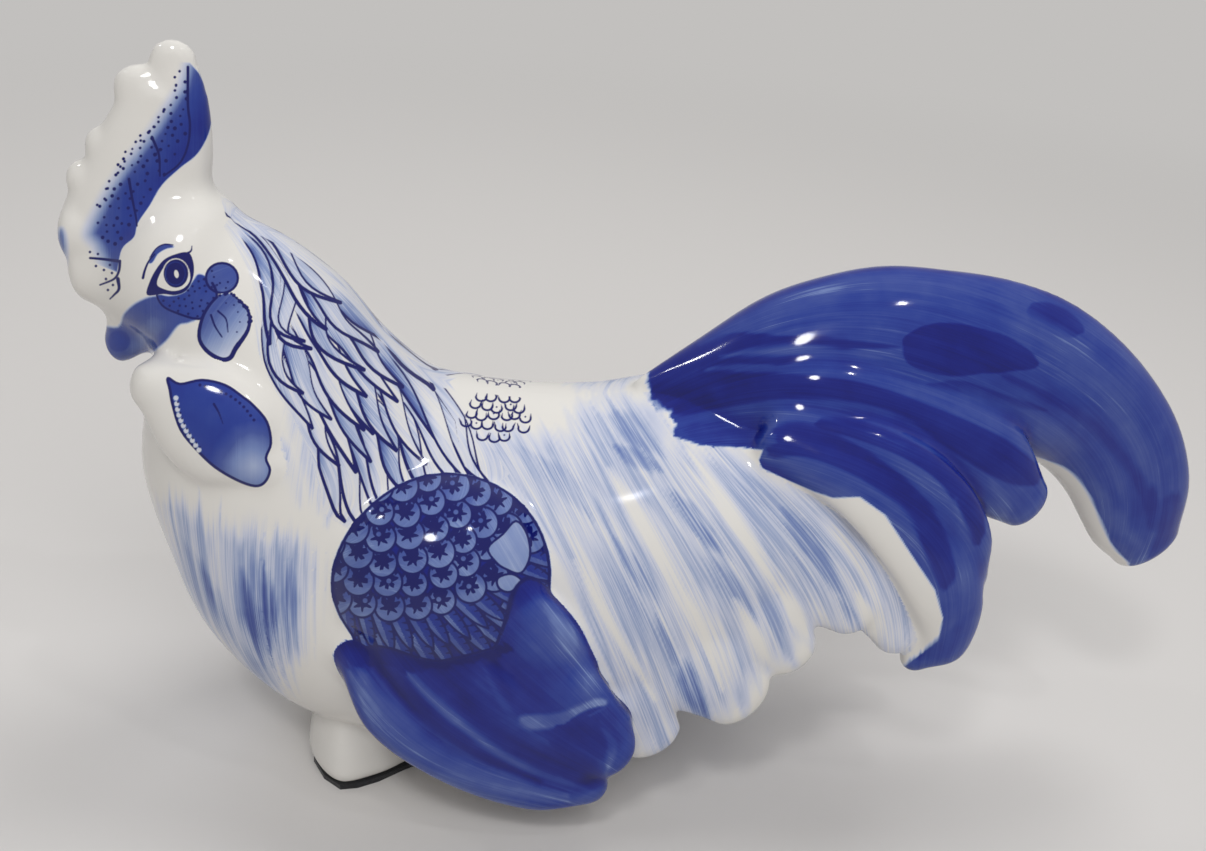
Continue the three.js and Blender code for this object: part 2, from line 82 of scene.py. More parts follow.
# How many rings round off the end of a loft
CAP_RINGS = 8


def spline(points, shares, even=True):
    """A curve through the points, with knots spaced alike or by the root of their gaps"""
    points = np.asarray(points, float)
    knots = np.vstack([2 * points[0] - points[1], points, 2 * points[-1] - points[-2]])
    place = np.clip(shares, 0, 1) * (len(points) - 1)
    i = np.minimum(place.astype(int), len(points) - 2)
    w = (place - i)[:, None]
    a, b, c, d = (knots[i + k] for k in range(4))
    if even:
        leave, arrive = (c - a) / 2, (d - b) / 2
    else:
        g0, g1, g2 = (np.sqrt(np.linalg.norm(gap, axis=1))[:, None] for gap in (b - a, c - b, d - c))
        leave = ((b - a) / g0 - (c - a) / (g0 + g1) + (c - b) / g1) * g1
        arrive = ((c - b) / g1 - (d - b) / (g1 + g2) + (d - c) / g2) * g1
    return b + leave * w + (3 * (c - b) - 2 * leave - arrive) * w**2 + (2 * (b - c) + leave + arrive) * w**3


def grid(x, z, length, height):
    """Turns shares of a length and a height into a place in the side plane"""
    return lambda u, v: (x + u * length, z + v * height)


def unit(vector):
    return vector / np.linalg.norm(vector, axis=-1, keepdims=True)


def section(top, bottom, half_width, widest=0.5, powers=(2.0, 2.0)):
    """One section across the bird: its centre, across, up and down vectors and its two powers"""
    upper, lower = np.array([top[0], 0, top[1]]), np.array([bottom[0], 0, bottom[1]])
    centre = lower + (upper - lower) * widest
    return np.concatenate([centre, [0, half_width, 0], upper - centre, lower - centre, powers])


def placed(quill, on_grid, reach, start=0.0):
    """A quill's points, from shares of a grid and of how far it stands out to the left"""
    points = []
    for u, out, v in quill:
        x, z = on_grid(u, v)
        points.append((x, start - out * reach, z))
    return points


def feather(quill, widths, width, thickness, face):
    """The sections of a feather along its quill"""
    count = len(widths)
    t = np.linspace(0, 1, count)
    centres = spline(quill, t, even=False)
    after, before = (spline(quill, np.clip(place, 0, 1), even=False) for place in (t + STEP, t - STEP))
    along = unit(after - before)
    across = unit(np.cross(unit(np.array(face, float)), along))
    up = unit(np.cross(along, across))
    half = np.array(widths)[:, None] * width / 2
    thick = np.minimum(thickness / 2, half)
    return np.hstack([centres, across * half, up * thick, -up * thick, np.full((count, 2), 2.0)])


def stacked(rings, sides):
    """The faces between rings of points, with a pole before the first ring and one after the last"""
    faces = []
    for ring in range(rings - 1):
        for i in range(sides):
            j = (i + 1) % sides
            faces.append((ring * sides + i, ring * sides + j, (ring + 1) * sides + j, (ring + 1) * sides + i))
    pole, last = rings * sides, (rings - 1) * sides
    for i in range(sides):
        j = (i + 1) % sides
        faces += [(pole, j, i), (pole + 1, last + i, last + j)]
    return faces


def loft(sections, rings, sides, start=0.0, end=0.0):
    """A closed mesh through the sections, with round ends"""
    rows = spline(np.array(sections), np.linspace(0, 1, rings))
    ends = spline(np.array(sections), np.array([0, STEP, 1 - STEP, 1]))[:, :3]
    tangents = unit(ends[1] - ends[0]), unit(ends[3] - ends[2])
    steps = np.arange(1, CAP_RINGS + 1) / (CAP_RINGS + 1) * math.pi / 2
    first = [(rows[0], -tangents[0] * start * math.sin(q), math.cos(q)) for q in steps[::-1]] if start else []
    last = [(rows[-1], tangents[1] * end * math.sin(q), math.cos(q)) for q in steps] if end else []
    body = [(row, np.zeros(3), 1.0) for row in rows]
    angle = np.arange(sides) / sides * 2 * math.pi
    points = []
    for row, shift, scale in first + body + last:
        sine, cosine = np.sin(angle), np.cos(angle)
        power = np.where(sine >= 0, row[12], row[13])
        rise = np.where((sine >= 0)[:, None], row[6:9], row[9:12])
        side = np.sign(cosine) * np.abs(cosine) ** (2 / power)
        lift = np.abs(sine) ** (2 / power)
        points.append(row[:3] + shift + (side[:, None] * row[3:6] + lift[:, None] * rise) * scale)
    count = len(points)
    poles = [rows[0][:3] - tangents[0] * start, rows[-1][:3] + tangents[1] * end]
    points = np.concatenate(points + [poles])
    return points, stacked(count, sides)


on_body = grid(BREAST_FRONT, BELLY_HEIGHT, RUMP_END - BREAST_FRONT, BACK_HEIGHT - BELLY_HEIGHT)
on_neck = grid(BREAST_FRONT, BACK_HEIGHT, RUMP_END - BREAST_FRONT, NECK_RISE)


def neck_to_flank(share):
    return NECK_HALF + (FLANK_HALF - NECK_HALF) * share


def body_moulds():
    w = FLANK_HALF
    rows = [
        section(on_neck(0.133, 1), on_neck(0.009, 0.078), NECK_HALF),
        section(on_neck(0.197, 0.863), on_body(-0.009, 0.904), neck_to_flank(0.15)),
        section(on_neck(0.266, 0.627), on_body(-0.014, 0.748), neck_to_flank(0.42)),
        section(on_neck(0.326, 0.314), on_body(0.014, 0.548), neck_to_flank(0.68)),
        section(on_neck(0.394, 0.078), on_body(0.073, 0.278), neck_to_flank(0.87), 0.48),
        section(on_neck(0.463, 0.02), on_body(0.202, 0.043), neck_to_flank(0.96), 0.46),
        section(on_body(0.541, 1), on_body(0.385, 0), w, 0.46, (2, 2.4)),
        section(on_body(0.633, 1.009), on_body(0.601, 0.009), w, 0.46, (2, 2.6)),
        section(on_body(0.734, 1.052), on_body(0.771, 0.122), w * 0.96, 0.45, (2, 2.6)),
        section(on_body(0.826, 1.052), on_body(0.89, 0.278), w * 0.88, 0.5, (2, 2.6)),
        section(on_body(0.917, 1.035), on_body(0.991, 0.417), w * 0.78, 0.5, (2, 2.4)),
        section(on_body(1.018, 0.983), on_body(1.064, 0.504), w * 0.62),
    ]
    return [loft(rows, 110, 96, end=RUMP_ROUND)]


def skirt_moulds():
    quills = [
        ([[0.587, 0.75, 0.704], [0.67, 0.9, 0.348], [0.725, 0.87, 0.183]], [0.88, 1, 0.69]),
        ([[0.679, 0.76, 0.704], [0.771, 0.885, 0.435], [0.849, 0.852, 0.313]], [0.88, 1, 0.75]),
        ([[0.771, 0.71, 0.757], [0.853, 0.815, 0.557], [0.913, 0.796, 0.452]], [0.88, 1, 0.63]),
        ([[0.835, 0.67, 0.826], [0.931, 0.76, 0.678], [1, 0.741, 0.574]], [0.88, 0.94, 0.63]),
        ([[0.899, 0.57, 0.861], [1.018, 0.685, 0.661], [1.073, 0.685, 0.487]], [0.81, 0.88, 0.5]),
    ]
    moulds = []
    for quill, widths in quills:
        rows = feather(placed(quill, on_body, FLANK_HALF), widths, SKIRT_WIDTH, SKIRT_THICK, (0, -1, 0.1))
        moulds.append(loft(rows, 24, 32, SKIRT_WIDTH / 4, SKIRT_WIDTH / 4))
    return moulds


head_x, head_z = on_neck(0.133, 1)
on_head = grid(head_x, head_z, -HEAD_LENGTH, HEAD_DEPTH)


def head_moulds():
    w = NECK_HALF
    rows = [
        section(on_head(0, 0), on_head(0.692, -1), w),
        section(on_head(0.231, 0.17), on_head(0.641, -0.872), w * 0.97),
        section(on_head(0.538, 0.17), on_head(0.769, -0.787), w * 0.88),
        section(on_head(0.821, 0), on_head(0.897, -0.723), w * 0.7),
        section(on_head(1, -0.255), on_head(1, -0.66), w * 0.5),
    ]
    return [loft(rows, 60, 72, end=HEAD_DEPTH / 12)]


def beak_moulds():
    on_beak = grid(*on_head(0.462, -0.638), -BEAK_LENGTH, BEAK_DEPTH)
    w = BEAK_WIDTH / 2
    rows = [
        section(on_beak(0.182, 0.8), on_beak(-0.273, -0.267), w * 1.1),
        section(on_beak(0.682, 0.4), on_beak(0.227, -0.667), w * 1.05),
        section(on_beak(1, 0), on_beak(0.59, -1), w * 0.9),
        section(on_beak(1.09, -0.467), on_beak(0.818, -1.133), w * 0.6),
    ]
    return [loft(rows, 40, 48, end=BEAK_DEPTH / 5)]


def comb_moulds():
    on_comb = grid(head_x, head_z, -HEAD_LENGTH, COMB_HEIGHT)
    lobes = [
        ([[0.846, 0, -0.471], [0.949, 0, -0.157], [0.718, 0, 0.235], [0.564, 0, 0.667]], [0.69, 1, 1, 0.63]),
        ([[0.846, 0, -0.333], [1.154, 0, -0.333]], [0.81, 0.75]),
        ([[0.923, 0, -0.137], [1.205, 0, -0.118]], [0.69, 0.63]),
        ([[0.872, 0, 0.078], [1.128, 0, 0.176]], [0.5, 0.38]),
        ([[0.769, 0, 0.235], [0.974, 0, 0.373]], [0.5, 0.38]),
        ([[0.641, 0, 0.392], [0.692, 0, 0.725]], [0.56, 0.5]),
        ([[0.436, 0, -0.078], [0.436, 0, 0.549], [0.46, 0, 0.87]], [0.53, 0.56, 0.42]),
    ]
    moulds = []
    for quill, widths in lobes:
        rows = feather(placed(quill, on_comb, 0), widths, COMB_POINT, COMB_THICK, (0, -1, 0))
        thin = 1 - COMB_THINNING * np.clip((rows[:, 2:3] - head_z) / COMB_HEIGHT, 0, 1)
        rows[:, 6:12] *= thin
        moulds.append(loft(rows, 32, 36, COMB_THICK * 0.3, COMB_THICK * 0.3))
    return moulds


def wattle_moulds():
    x, z = on_head(0.513, -0.894)
    points = [
        (x + u * WATTLE_DROP, -neck_to_flank(out), z - v * WATTLE_DROP)
        for u, v, out in ((0, 0, 0.1), (0.474, 0.26, 0.3), (0.842, 0.52, 0.43))
    ]
    rows = feather(points, [0.5, 0.88, 1, 0.9, 0.5], WATTLE_WIDTH, WATTLE_THICK, (-0.25, -1, 0.25))
    return [loft(rows, 40, 48, WATTLE_WIDTH * 0.22, WATTLE_WIDTH * 0.22)]


covert_centre = np.array([BREAST_FRONT + WING_START, -FLANK_HALF, BACK_HEIGHT - COVERT_DROP])


def covert_moulds():
    depth = COVERT_RELIEF * 2
    rows = []
    for share in np.linspace(-0.999, 0.999, 24):
        scale = math.sqrt(1 - share * share)
        centre = covert_centre + [COVERT_LENGTH / 2 * share, depth - COVERT_RELIEF * 0.75, 0]
        half = COVERT_HEIGHT / 2 * scale
        rows.append(np.concatenate([centre, [0, depth * scale, 0], [0, 0, half], [0, 0, -half], [2, 2]]))
    return [loft(rows, 60, 72)]


def flight_moulds():
    on_wing = grid(covert_centre[0], covert_centre[2], WING_REACH, WING_DROP)
    feathers = [
        ([[0.337, 0, 0.034], [0.537, 0.2, -0.163], [0.694, 0.15, -0.343]], [0.63, 0.75, 0.63]),
        ([[0.378, 0, -0.2], [0.696, 0.4, -0.454], [0.954, 0.35, -0.642]], [0.81, 0.88, 0.63]),
        ([[0.057, 0, -0.2], [0.45, 0.45, -0.51], [1, 0.4, -0.73]], [0.75, 0.8, 0.63]),
        ([[-0.209, 0, -0.206], [0.2, 0.36, -0.59], [0.78, 0.36, -0.81]], [0.63, 0.72, 0.63]),
        ([
            [-0.46, -0.05, -0.31], [-0.25, 0.15, -0.6], [0.14, 0.3, -0.82],
            [0.57, 0.36, -0.945], [0.88, 0.3, -0.935],
        ], [0.35, 0.58, 0.6, 0.56, 0.45]),
    ]
    moulds = []
    for quill, widths in feathers:
        points = placed(quill, on_wing, FLIGHT_THICK, covert_centre[1])
        rows = feather(points, widths, FLIGHT_WIDTH, FLIGHT_THICK, (0, -1, 0.05))
        moulds.append(loft(rows, 32, 36, FLIGHT_WIDTH * 0.16, FLIGHT_WIDTH * 0.22))
    return moulds


on_tail = grid(RUMP_END, BACK_HEIGHT + TAIL_RISE, TAIL_REACH - RUMP_END, PLUME_DEPTH)


def plume_moulds():
    w = PLUME_WIDTH / 2
    rise = grid(BREAST_FRONT, BACK_HEIGHT, RUMP_END - BREAST_FRONT, TAIL_RISE)
    crest, lobe = (0.3, (1.7, 2.4)), (0.45, (1.9, 2.2))
    rows = [
        section(rise(0.679, 0.125), on_body(0.78, 0.843), w * 0.4, *crest),
        section(rise(0.761, 0.417), on_body(0.826, 0.896), w * 0.76, *crest),
        section(on_tail(-0.275, -0.245), on_tail(-0.217, -1.038), w * 0.94, *crest),
        section(on_tail(-0.133, -0.094), on_tail(-0.1, -1.019), w, *crest),
        section(on_tail(0.025, 0), on_tail(0.033, -1), w, *crest),
        section(on_tail(0.192, 0), on_tail(0.183, -0.981), w * 0.96, *crest),
        section(on_tail(0.367, -0.038), on_tail(0.317, -1.019), w * 0.86, *crest),
        section(on_tail(0.533, -0.151), on_tail(0.45, -1.094), w * 0.7, *crest),
        section(on_tail(0.692, -0.377), on_tail(0.55, -1.208), w * 0.56, *lobe),
        section(on_tail(0.825, -0.66), on_tail(0.633, -1.377), w * 0.48, *lobe),
        section(on_tail(0.917, -0.943), on_tail(0.7, -1.585), w * 0.42, *lobe),
        section(on_tail(0.975, -1.264), on_tail(0.75, -1.736), w * 0.38, *lobe),
        section(on_tail(0.983, -1.585), on_tail(0.817, -1.849), w * 0.3, *lobe),
    ]
    return [loft(rows, 120, 72, PLUME_DEPTH / 13, PLUME_DEPTH / 9)]


def tail_feather(reach, quill, widths):
    rows = feather(placed(quill, on_tail, reach), widths, SICKLE_WIDTH, SICKLE_THICK, (0, -1, 0.3))
    return [loft(rows, 56, 40, SICKLE_WIDTH / 6, SICKLE_WIDTH / 6)]


def middle_moulds():
    quill = [
        [-0.367, 0.48, -0.774], [-0.142, 0.92, -0.679], [0.108, 1.04, -0.811],
        [0.325, 1, -1.019], [0.45, 0.88, -1.264],
    ]
    return tail_feather(PLUME_WIDTH / 2, quill, [0.53, 0.87, 1, 1, 0.6])


def covert_sickle_moulds():
    quill = [
        [-0.217, 0.48, -0.774], [0.017, 0.63, -0.887], [0.167, 0.685, -1.132],
        [0.25, 0.685, -1.415], [0.3, 0.648, -1.642],
    ]
    return tail_feather(FLANK_HALF, quill, [0.33, 0.6, 0.73, 0.73, 0.4])


def lower_sickle_moulds():
    quill = [
        [-0.25, 0.55, -0.887], [-0.058, 0.7, -1.019], [0.117, 0.759, -1.34],
        [0.233, 0.759, -1.717], [0.25, 0.704, -2.057], [0.2, 0.648, -2.208],
    ]
    return tail_feather(FLANK_HALF, quill, [0.47, 0.67, 0.8, 0.8, 0.6, 0.33])


def foot_moulds():
    half = np.array([
        (0, 0), (0.008, FOOT_HALF * 0.63), (0.099, FOOT_HALF), (0.207, FOOT_HALF * 0.88),
        (0.347, HEEL_HALF * 1.15), (0.653, HEEL_HALF), (0.884, HEEL_HALF), (0.975, HEEL_HALF * 0.6), (1, 0),
    ])
    half[:, 0] = FOOT_FRONT + half[:, 0] * (FOOT_REAR - FOOT_FRONT)
    ring = np.vstack([half, half[-2:0:-1] * (1, -1)])
    wrapped = np.vstack([ring[-3:], ring, ring[:4]])
    sides = 192
    t = (3 + np.arange(sides) / sides * len(ring)) / (len(wrapped) - 1)
    outline = spline(wrapped, t, even=False)
    along = unit(np.roll(outline, -1, 0) - np.roll(outline, 1, 0))
    normal = np.column_stack([-along[:, 1], along[:, 0]])
    r = SOLE_ROUND
    levels = [(SOLE_HEIGHT, r * 0.75), (SOLE_HEIGHT + r * 0.3, r * 0.25), (SOLE_HEIGHT + r, 0)]
    levels += [((SOLE_HEIGHT + FOOT_HEIGHT) / 2, r * 0.25), (FOOT_HEIGHT, r)]
    inward = -np.sign(np.sum(normal * (outline - outline.mean(0)), axis=1).mean())
    points = [np.column_stack([outline + normal * inset * inward, np.full(sides, z)]) for z, inset in levels]
    centre = (FOOT_FRONT + FOOT_REAR) / 2
    poles = [[centre, 0, levels[0][0]], [centre, 0, levels[-1][0]]]
    return [(np.concatenate(points + [poles]), stacked(len(levels), sides))]


def mirrored(moulds):
    return [(points * (1, -1, 1), [face[::-1] for face in faces]) for points, faces in moulds]


MOULDS = {
    "body_shell": body_moulds() + skirt_moulds() + mirrored(skirt_moulds()),
    "head": head_moulds(),
    "beak": beak_moulds(),
    "comb": comb_moulds(),
    "foot": foot_moulds(),
    "tail_plume": plume_moulds(),
}
for part, moulds in (
    ("wattle", wattle_moulds()), ("wing_coverts", covert_moulds()), ("wing_flights", flight_moulds()),
    ("lower_sickle", lower_sickle_moulds()), ("covert_sickle", covert_sickle_moulds()),
    ("middle_feather", middle_moulds()),
):
    MOULDS["left_" + part] = moulds
    MOULDS["right_" + part] = mirrored(moulds)
NAMES = list(MOULDS)


def mesh_of(name, points, faces):
    """A mesh in metres from points in millimetres"""
    mesh = bpy.data.meshes.new(name)
    mesh.from_pydata((np.asarray(points) * MM).tolist(), [], faces)
    return mesh


def in_scene(name, data):
    """A new object of the scene"""
    item = bpy.data.objects.new(name, data)
    bpy.context.scene.collection.objects.link(item)
    return item


def joined(moulds):
    """Closed meshes in one, each with its faces outward"""
    whole = bmesh.new()
    for points, faces in moulds:
        one = mesh_of("mould", points, faces)
        whole.from_mesh(one)
        bpy.data.meshes.remove(one)
    bmesh.ops.recalc_face_normals(whole, faces=whole.faces)
    return whole


VOXEL = 1.0
everything = joined([mould for name in NAMES for mould in MOULDS[name]])
block = bpy.data.meshes.new("luted_castings")
everything.to_mesh(block)
everything.free()
wet = in_scene("luted_castings", block)
remesh = wet.modifiers.new("slip", "REMESH")
remesh.mode = "VOXEL"
remesh.voxel_size = VOXEL * MM
skin = bpy.data.meshes.new_from_object(wet.evaluated_get(bpy.context.evaluated_depsgraph_get()))
bpy.data.objects.remove(wet)


def read(items, key, kind=float, width=1):
    """One property of all the items of a mesh, a row for each"""
    values = np.empty(len(items) * width, kind)
    items.foreach_get(key, values)
    return values if width == 1 else values.reshape(-1, width)


def relaxed(points, edges, passes, share=1.0):
    """Moves the points halfway to the middle of their neighbours in each pass, or by a share of that"""
    count = len(points)
    weight = np.broadcast_to(0.5 * share, count)
    ends = np.concatenate([edges, edges[:, ::-1]])
    ends = ends[weight[ends[:, 0]] > 0.001]
    valence = np.maximum(np.bincount(ends[:, 0], minlength=count), 1)[:, None]
    for _ in range(passes):
        total = np.column_stack([
            np.bincount(ends[:, 0], weights=values, minlength=count) for values in points[ends[:, 1]].T
        ])
        points = points + (total / valence - points) * np.where(weight > 0.001, weight, 0)[:, None]
    return points


points = read(skin.vertices, "co", width=3) / MM
edges = read(skin.edges, "vertices", int, 2)

# The sheet on which the paint is laid out is the photograph's own picture plane, in its pixels, each about
# 0.3 mm on the bird, and it is seen by the camera that was worked out from the photograph. The places written
# below were read off it, and rows of feathers, scales and dots are laid out from them by formulas and
# seeded draws. Both sides are painted alike, so a point on the right takes its place from its mirror.
SHEET_EYE = np.array([-51.56, -401.06, 304.73])
SHEET_FORWARD = np.array([0.079, 0.9029, -0.4226])
SHEET_RIGHT = np.array([0.9956, -0.0501, 0.079])
SHEET_UP = np.array([-0.0501, 0.427, 0.9029])
SHEET_FOCUS, SHEET_X, SHEET_Y = 1400.0, 603.0, 425.5
SHEET_UNIT = 0.3


def on_sheet(points):
    reach = points * [1, 0, 1] - np.abs(points) * [0, 1, 0] - SHEET_EYE
    depth = reach @ SHEET_FORWARD
    x = SHEET_X + SHEET_FOCUS * (reach @ SHEET_RIGHT) / depth
    y = SHEET_Y - SHEET_FOCUS * (reach @ SHEET_UP) / depth
    return np.column_stack([x, y])


# How far each point of the skin is from each casting's own surface
NEAR = 14.0
gaps = np.full((len(points), len(NAMES)), NEAR)
for column, name in enumerate(NAMES):
    shell = joined(MOULDS[name])
    tree = BVHTree.FromBMesh(shell)
    shell.free()
    every = np.concatenate([mould[0] for mould in MOULDS[name]])
    close = np.nonzero(np.all((points > every.min(0) - NEAR) & (points < every.max(0) + NEAR), axis=1))[0]
    for index in close:
        hit = tree.find_nearest(points[index] * MM, NEAR * MM)[3]
        if hit is not None:
            gaps[index, column] = hit / MM
gaps = relaxed(gaps, edges, 6)


def gap_to(*names):
    """How far the skin is from the nearest of some castings"""
    return gaps[:, [NAMES.index(name) for name in names]].min(1)


# A seam lies where two castings are about as near, and is wiped smooth, wider round the face
SEAM_WIDTH, FACE_SEAM_WIDTH, FACE_REACH = 3.0, 6.0, 4.0
closest = np.sort(gaps, axis=1)
apart = closest[:, 1] - closest[:, 0]
seam = np.exp(-((apart / SEAM_WIDTH) ** 2))
face_seam = np.exp(-((apart / FACE_SEAM_WIDTH) ** 2))
points = relaxed(points, edges, 6)
points = relaxed(points, edges, 14, seam)
on_face = np.clip(1.2 - gap_to("head", "comb", "beak") / FACE_REACH, 0, 1)
points = relaxed(points, edges, 60, face_seam * on_face)
on_flights = np.clip(1.5 - gap_to("left_wing_flights", "right_wing_flights"), 0, 1)
points = relaxed(points, edges, 24, on_flights)
# The roots of feathers and the corner of the mouth are wiped flat, each round a place on the sheet
WIPED = (775, 430, 46), (690, 425, 30), (342, 655, 24), (152, 354, 15)
for x, y, reach in WIPED:
    away = np.hypot(*(on_sheet(points) - [x, y]).T) / reach
    points = relaxed(points, edges, 60, np.exp(-(away**4)))
points = np.clip(points, np.array(cad_box[0]) / MM, np.array(cad_box[1]) / MM)
skin.vertices.foreach_set("co", (points * MM).ravel())
skin.update()

# How deep each point lies in a groove between feathers, below zero on a ridge
groove = np.sum((relaxed(points, edges, 24) - points) * read(skin.vertices, "normal", width=3), axis=1)


def inside(places, outline):
    """Whether each place is inside a closed outline"""
    outline = np.asarray(outline, float)
    x, y = places[:, 0], places[:, 1]
    within = np.zeros(len(places), bool)
    for (x0, y0), (x1, y1) in zip(outline, np.roll(outline, -1, 0)):
        if y0 != y1:
            within ^= ((y0 > y) != (y1 > y)) & (x < (x1 - x0) * (y - y0) / (y1 - y0) + x0)
    return within


# Outlines on the sheet, which divide large castings into pieces of a size to paint
DIVISIONS = {
    "neck_cape": ("body_shell", [
        (186, 150), (196, 226), (186, 300), (186, 366), (330, 368), (400, 345), (430, 330), (430, 150),
    ]),
    "shoulder_cape": ("body_shell", [
        (262, 366), (330, 368), (400, 345), (430, 330), (560, 330), (548, 440), (512, 470), (505, 530),
        (322, 530), (302, 470), (284, 430), (262, 394),
    ]),
    "tail_tip": ("tail_plume", [(940, 150), (1300, 150), (1300, 760), (940, 760)]),
}
PIECES = NAMES + list(DIVISIONS)
# How often each piece's mesh edges are divided, once where nothing is said
CUTS = dict.fromkeys(("neck_cape", "shoulder_cape", "head", "comb", "wattle", "wing_coverts"), 2)
CUTS.update(body_shell=0, foot=0)


def side_free(name):
    return name.replace("left_", "").replace("right_", "")


shell = bmesh.new()
shell.from_mesh(skin)
layers = [shell.verts.layers.float.new("gap_" + name) for name in NAMES]
layers.append(shell.verts.layers.float.new("groove"))
for vertex, row in zip(shell.verts, np.column_stack([gaps, groove]).tolist()):
    for layer, value in zip(layers, row):
        vertex[layer] = value
corners = np.array([[v.index for v in face.verts] for face in shell.faces])
owner = np.argmin(gaps[corners].sum(1), axis=1)
middle = points[corners].mean(1)
for number, (casting, outline) in enumerate(DIVISIONS.values()):
    owner[inside(on_sheet(middle), outline) & (owner == NAMES.index(casting))] = len(NAMES) + number

# Each piece keeps its largest patch, and the others go to the piece round them
sides = np.concatenate([corners[:, [k, (k + 1) % 4]] for k in range(4)])
sides.sort(axis=1)
order = np.lexsort((sides[:, 1], sides[:, 0]))
face_of = np.tile(np.arange(len(corners)), 4)[order]
sides = sides[order]
pair = np.nonzero(np.all(sides[1:] == sides[:-1], axis=1))[0]
adjacent = np.column_stack([face_of[pair], face_of[pair + 1]])


def patches(owner):
    """The patch number of each face, by spreading the lowest number over each patch"""
    same = adjacent[owner[adjacent[:, 0]] == owner[adjacent[:, 1]]]
    patch = np.arange(len(owner))
    while True:
        low = np.minimum(patch[same[:, 0]], patch[same[:, 1]])
        before = patch.copy()
        np.minimum.at(patch, same[:, 0], low)
        np.minimum.at(patch, same[:, 1], low)
        patch = patch[patch]
        if np.array_equal(patch, before):
            return patch


STRAY_PASSES = 6
for _ in range(STRAY_PASSES):
    patch = patches(owner)
    size = np.bincount(patch, minlength=len(owner))
    largest = np.zeros(len(PIECES), int)
    np.maximum.at(largest, owner, size[patch])
    stray = size[patch] < largest[owner]
    if not stray.any():
        break
    votes = np.zeros((len(owner), len(PIECES)), int)
    for one, other in ((0, 1), (1, 0)):
        mine, theirs = adjacent[:, one], adjacent[:, other]
        keep = stray[mine] & ~stray[theirs]
        np.add.at(votes, (mine[keep], owner[theirs[keep]]), 1)
    decided = stray & (votes.max(1) > 0)
    owner[decided] = votes[decided].argmax(1)

owner_layer = shell.faces.layers.int.new("owner")
for face, value in zip(shell.faces, owner.tolist()):
    face[owner_layer] = value
for cuts in (1, 2):
    chosen = {PIECES.index(name) for name in PIECES if CUTS.get(side_free(name), 1) == cuts}
    split = {edge for face in shell.faces if face[owner_layer] in chosen for edge in face.edges}
    bmesh.ops.subdivide_edges(shell, edges=list(split), cuts=cuts, use_grid_fill=True)
fine = bpy.data.meshes.new("fine_skin")
shell.to_mesh(fine)
shell.free()
bpy.data.meshes.remove(skin)

points = relaxed(read(fine.vertices, "co", width=3) / MM, read(fine.edges, "vertices", int, 2), 5)
fine.vertices.foreach_set("co", (points * MM).ravel())
fine.update()
normals = read(fine.vertices, "normal", width=3)
gaps = np.column_stack([read(fine.attributes["gap_" + name].data, "value") for name in NAMES])
# Colour gathers in grooves and thins on ridges, fully from a quarter of a millimetre deep or high; this is
# also painted shade in the grooves and painted highlight on the ridges, to make the relief read.
pooling_and_relief_shading = np.clip(read(fine.attributes["groove"].data, "value") / 0.25, -1, 1)
owner = read(fine.attributes["owner"].data, "value", int)
starts = read(fine.polygons, "loop_start", int)
totals = read(fine.polygons, "loop_total", int)
loops = read(fine.loops, "vertex_index", int)

# Painting. Each layer is a number for every point of the skin, and the capital names below hold places on
# the sheet, with half widths and tones where they are strokes.
sheet = on_sheet(points)
owner_of_point = np.argmin(gaps, axis=1)
# How far a line is felt, beyond which a point has no ink
NO_INK = 9.0
cobalt = np.zeros(len(points))
brush = np.zeros(len(points))
ink = np.full(len(points), NO_INK)
along = sheet[:, 1] * SHEET_UNIT
across = sheet[:, 0] * SHEET_UNIT
SEED = 5
dice = np.random.default_rng(SEED)
# The brush reaches unevenly from hair to hair, with the hairs counted across a stroke
HAIRS, MIDDLE_HAIR, HAIR_WIDTH = 2000, 800, 0.7
unevenness = dice.normal(0, 1, HAIRS)


def on(*parts):
    """The points that belong to castings of these kinds"""
    wanted = [i for i, name in enumerate(NAMES) if side_free(name) in parts]
    return np.nonzero(np.isin(owner_of_point, wanted))[0]


def only(area, kept):
    """The points of an area for which a layer of yes and no says yes"""
    return area[kept[area]]


# How many straight stretches stand for a curve or a ring between two of its points, and for an oval
CURVE_STEPS, RING_STEPS, OVAL_STEPS = 5, 4, 24


def curve(path):
    path = np.asarray(path, float)
    return spline(path, np.linspace(0, 1, CURVE_STEPS * (len(path) - 1) + 1))


def ring(path):
    """A smooth closed outline through the points"""
    path = np.asarray(path, float)
    wrapped = np.vstack([path[-3:], path, path[:4]])
    t = (3 + np.arange(RING_STEPS * len(path)) / RING_STEPS) / (len(wrapped) - 1)
    return spline(wrapped, t)


def closed(outline):
    return np.vstack([outline, outline[:1]])


def oval(x, y, rx, ry=None, turn=0.0):
    a = np.arange(OVAL_STEPS) / OVAL_STEPS * 2 * math.pi
    px, py = rx * np.cos(a), (ry or rx) * np.sin(a)
    c, s = math.cos(turn), math.sin(turn)
    return np.column_stack([x + px * c - py * s, y + px * s + py * c])


def evenly(path, shares):
    gone = np.concatenate([[0], np.cumsum(np.linalg.norm(np.diff(path, axis=0), axis=1))])
    return np.column_stack([np.interp(np.asarray(shares) * gone[-1], gone, path[:, k]) for k in (0, 1)])


def near(area, shape, margin):
    """The points of an area that lie in the box round a shape"""
    (left, top), (right, bottom) = shape.min(0) - margin, shape.max(0) + margin
    x, y = sheet[area, 0], sheet[area, 1]
    return area[(x > left) & (x < right) & (y > top) & (y < bottom)]


